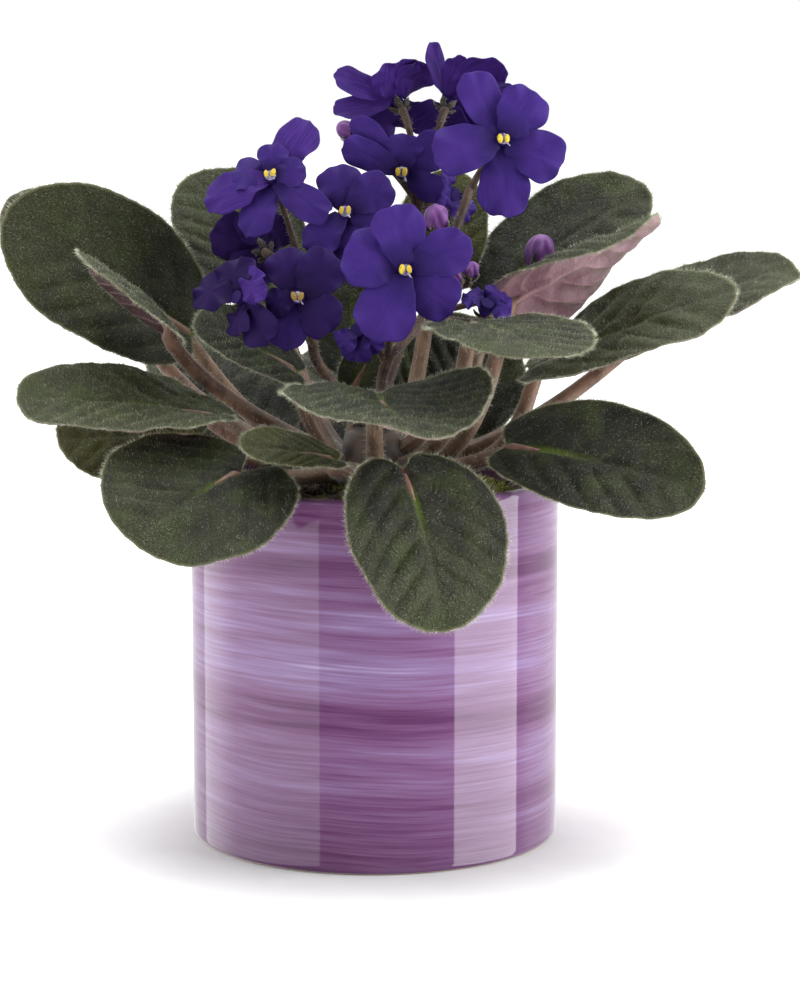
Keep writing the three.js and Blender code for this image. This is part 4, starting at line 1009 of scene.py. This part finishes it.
# painted shade: flowers that sit in shade are drawn darker
darkened = node(tree, "Mix", {0: flower_painted_shade, 6: both, 7: "1c0a36"}, data_type="RGBA")
swell = node(tree, "Math", {0: lines, 1: 0.8, 2: cells}, operation="MULTIPLY_ADD")
grain = node(tree, "Bump", {"Height": swell, "Strength": 0.25, "Distance": 0.0003})
skin = node(tree, "BsdfPrincipled", {
    "Base Color": darkened, "Roughness": 0.6, "Specular IOR Level": 0.12, "Sheen Weight": 0.03,
    "Sheen Roughness": 0.4, "Sheen Tint": "8f78e6", "Normal": grain,
})
node(tree, "OutputMaterial", {"Surface": skin})

# The inside of the throat, the filaments and the style: pale grey mottled with violet, smooth.
throat_skin = mottled("pale throat", 700.0, [(0.35, "5c4a96"), (0.65, "b9b4b0")], 0.5)

for number, flower in enumerate(FLOWERS, 1):
    draw = np.random.default_rng(number * 13)
    corolla = Piece()
    for index in range(len(flower["petals"])):
        petal(corolla, flower, index, draw)
    face = unit(flower["face"])
    centre = np.array(flower["centre"], float)
    throat_tube = [[-TUBE_LENGTH, 1.2], [-4, 1.75], [-2, 1.9], [0, 2.1], [0.5, 2.3], [0.6, 2.0]]
    centres = np.array([centre + face * place for place, _ in throat_tube])
    rings = tube(centres, [radius for _, radius in throat_tube], 16)
    # the inside of the tube is drawn dark: painted shade in the throat
    corolla.add(*shell(rings, rings[0].mean(0), centre + face * 0.5), petal_place=(0.1, 0, 1),
                petal_tone=(0, 0, 0.3))
    if not flower.get("bare"):
        pale = np.array([centre + face * place for place in (0.3, 0.75, 0.95)])
        rings = tube(pale, [1.8, 1.7, 1.2], 20)
        corolla.add(*shell(rings, rings[0].mean(0), centre + face * 0.5), finish=1)
    corolla.make(f"corolla_{number:02d}", [petal_skin, throat_skin], [f"flower_{number:02d}_petals"], "petal")

# The anthers
# Two bright yellow lobes joined side by side stand on short filaments in front of the throat, full
# of pollen, with the pale style beside them.
ANTHER_RADIUS = 1.25
ANTHER_LIFT = 1.95

# Pollen yellow: dry and powdery, with a fine grain, drawn tan in flowers that sit in shade, which is painted
# shade.
pollen, tree = blank("pollen yellow")
where = node(tree, "TexCoord").outputs["Object"]
powder = node(tree, "TexNoise", {"Vector": where, "Scale": 2200.0, "Detail": 2.0})
fresh = node(tree, "ValToRGB", {"Fac": powder}, stops=[(0.3, "b98f14"), (0.6, "e6cf3c")])
mark = node(tree, "Attribute", attribute_name="pollen_age").outputs["Vector"]
pollen_shade_amount, _, _ = node(tree, "SeparateXYZ", {"Vector": mark}).outputs
shaded_pollen = node(tree, "Mix", {0: pollen_shade_amount, 6: fresh, 7: "7d5c38"}, data_type="RGBA")
grains = node(tree, "Bump", {"Height": powder, "Strength": 0.4, "Distance": 0.0002})
skin = node(tree, "BsdfPrincipled", {"Base Color": shaded_pollen, "Roughness": 0.7, "Normal": grains})
node(tree, "OutputMaterial", {"Surface": skin})


def swollen(centre, along, right, radius, half, sides, rows, lobes=0, depth=0.0, twist=0.0):
    """A closed rounded form along one way, with soft folds that run from end to end."""
    along = unit(along)
    right = unit(right - along * (right @ along))
    top = np.cross(along, right)
    place = -np.cos(np.linspace(0, np.pi, rows + 2)[1:-1])
    turn = np.linspace(0, 2 * np.pi, sides, endpoint=False)
    swell = np.sqrt(1 - place ** 2)[:, None] * radius
    if lobes:
        swell = swell * (1 + depth * (np.abs(np.sin(lobes / 2 * turn + twist * place[:, None])) - 0.6))
    rings = (centre + along * (place * half)[:, None, None]
             + right * (swell * np.cos(turn))[..., None] + top * (swell * np.sin(turn))[..., None])
    return shell(rings, centre - along * half, centre + along * half)


for number, flower in enumerate(FLOWERS, 1):
    if flower.get("bare"):
        continue
    face, right, top = facing(flower["face"])
    front = np.array(flower["centre"], float) + face * ANTHER_LIFT
    draw = np.random.default_rng(number * 17)
    pair = Piece()
    for hand in (-1, 1):
        size = ANTHER_RADIUS * draw.uniform(0.85, 1.05)
        centre = front + right * hand * ANTHER_RADIUS * 0.9 + top * draw.uniform(-0.3, 0.3)
        tilt = right * (hand * 0.1 + draw.uniform(-0.35, 0.35)) + top
        pair.add(*swollen(centre, tilt, face, size * 0.62, size * 1.2, 20, 12, lobes=2, depth=0.25),
                 # the pollen turns tan with the flower's painted shade
                 pollen_age=(flower.get("flower_painted_shade", 0) * 1.6, 0, 0))
        stem = bezier(front - face * 1.9 + right * hand * 0.5, front - face * 1.4 + right * hand * 1.2,
                      front - face * 0.6 + right * hand * 1.2, centre, 8)
        pair.add(*capped(tube(stem, np.full(8, 0.4), 8)), finish=1)
    style = bezier(front - face * 1.8, front - face * 0.5 + right * 0.8 - top, front + right * 1.4 - top * 2,
                   front + face * 1.2 + right * 1.8 - top * 2.6, 10)
    pair.add(*capped(tube(style, np.linspace(0.35, 0.2, 10), 8)), finish=1)
    pair.make(f"anther_pair_{number:02d}", [pollen, throat_skin], [f"flower_{number:02d}_anthers"], "anther")

# The buds
# Closed buds: the petals are still furled round each other in a tight spindle, pink-purple mottled
# with violet, and the calyx holds them.
bud_skin = mottled("furled bud", 260.0, [(0.3, "4a2060"), (0.5, "64307a"), (0.7, "8a5294")], 0.5,
                   detail=3.0, bump=(0.3, 0.0004), **{"Sheen Weight": 0.3, "Sheen Tint": "c79be0"})

for number, spec in enumerate(BUDS, 1):
    along, right, _ = facing(spec["along"])
    centre = np.array(spec["centre"], float)
    bud = Piece()
    bud.add(*swollen(centre, along, right, spec["radius"], spec["half"], 40, 26,
                     lobes=5, depth=0.24, twist=0.9))
    bud.make(f"furled_bud_{number}", [bud_skin], [f"flower_bud_{number}"], "bud")

# The table, the lights and the camera
# A plain white table in a bright room, with a tall soft light at each side that the glaze mirrors.
# The camera stands a metre away, a little above the flowers, and looks down at the plant.
CAMERA_PLACE = (0.0083, -1.012, 0.2685)
CAMERA_PITCH = 8.9
CAMERA_LENS = 112.7

# Matt white table top, with a trace of grain. It glows: painted light that lifts it to white away
# from the pot and lightens the shadow on its left; close round the pot it has no glow.
paper, tree = blank("white table top")
where = node(tree, "TexCoord").outputs["Object"]
grain = node(tree, "TexNoise", {"Vector": where, "Scale": 60.0})
tint = node(tree, "ValToRGB", {"Fac": grain}, stops=[(0.2, "e0e0e0"), (0.8, "e6e6e6")])
away = node(tree, "VectorMath", {0: where}, operation="LENGTH")
glow = node(tree, "MapRange", {"Value": away, "From Min": 0.06, "From Max": 0.16, "To Max": 0.75},
            interpolation_type="SMOOTHSTEP")
x, _, _ = node(tree, "SeparateXYZ", {"Vector": where}).outputs
# painted light that lightens the table's shadow on the left of the pot
left = node(tree, "MapRange", {"Value": x, "From Min": -0.035, "From Max": -0.075, "To Max": 0.13})
lift = node(tree, "Math", {0: glow, 1: left}, operation="ADD")
skin = node(tree, "BsdfPrincipled", {
    "Base Color": tint, "Roughness": 0.9, "Specular IOR Level": 0.0, "Emission Color": "ffffff",
    "Emission Strength": lift,
})
node(tree, "OutputMaterial", {"Surface": skin})

table = bpy.data.meshes.new("table_top")
table.from_pydata([(-5, -5, 0), (5, -5, 0), (5, 5, 0), (-5, 5, 0)], [], [(0, 1, 2, 3)])
table.materials.append(paper)
floor = bpy.data.objects.new("table_top", table)
bpy.context.scene.collection.objects.link(floor)
floor.visible_glossy = False

# the room is bright behind the plant, dim in front of it, and plain white where the camera sees it
world = bpy.data.worlds.new("white room")
bpy.context.scene.world = world
world.use_nodes = True
tree = world.node_tree
tree.nodes.clear()
_, y, _ = node(tree, "SeparateXYZ", {"Vector": node(tree, "TexCoord").outputs["Generated"]}).outputs
behind = node(tree, "MapRange", {"Value": y, "From Min": 0.1, "From Max": 0.4, "To Min": 0.3, "To Max": 1.1})
seen = node(tree, "LightPath").outputs["Is Camera Ray"]
bright = node(tree, "Mix", {0: seen, 2: behind, 3: 1.0}, data_type="FLOAT")
sky = node(tree, "Background", {"Color": "ffffff", "Strength": bright})
node(tree, "OutputWorld", {"Surface": sky})

# name, centre, size along and up, what it faces and watts
LIGHTS = [
    ("left_soft_light", (-1.2, -0.36, 0.5), (2.88, 2.2), (0, -0.36, 0.5), 28.0),
    ("right_soft_light", (1.0, -0.353, 0.5), (0.982, 2.2), (0, -0.353, 0.5), 30.5),
    ("top_soft_light", (0.0, 0.15, 1.5), (0.9, 0.9), (0, 0, 0.15), 14.0),
]
for name, centre, size, target, watts in LIGHTS:
    data = bpy.data.lights.new(name, "AREA")
    data.shape = "RECTANGLE"
    data.size, data.size_y = size
    data.energy = watts
    lamp = bpy.data.objects.new(name, data)
    bpy.context.scene.collection.objects.link(lamp)
    lamp.location = centre
    way = Vector(target) - Vector(centre)
    lamp.rotation_mode = "QUATERNION"
    lamp.rotation_quaternion = way.to_track_quat("-Z", "Y")
    lamp.visible_camera = False

lens = bpy.data.cameras.new("camera")
lens.sensor_width = 36.0
lens.lens = CAMERA_LENS
camera = bpy.data.objects.new("camera", lens)
bpy.context.scene.collection.objects.link(camera)
camera.location = CAMERA_PLACE
camera.rotation_euler = (math.radians(90 - CAMERA_PITCH), 0, 0)
bpy.context.scene.camera = camera
bpy.context.scene.view_settings.view_transform = "Standard"
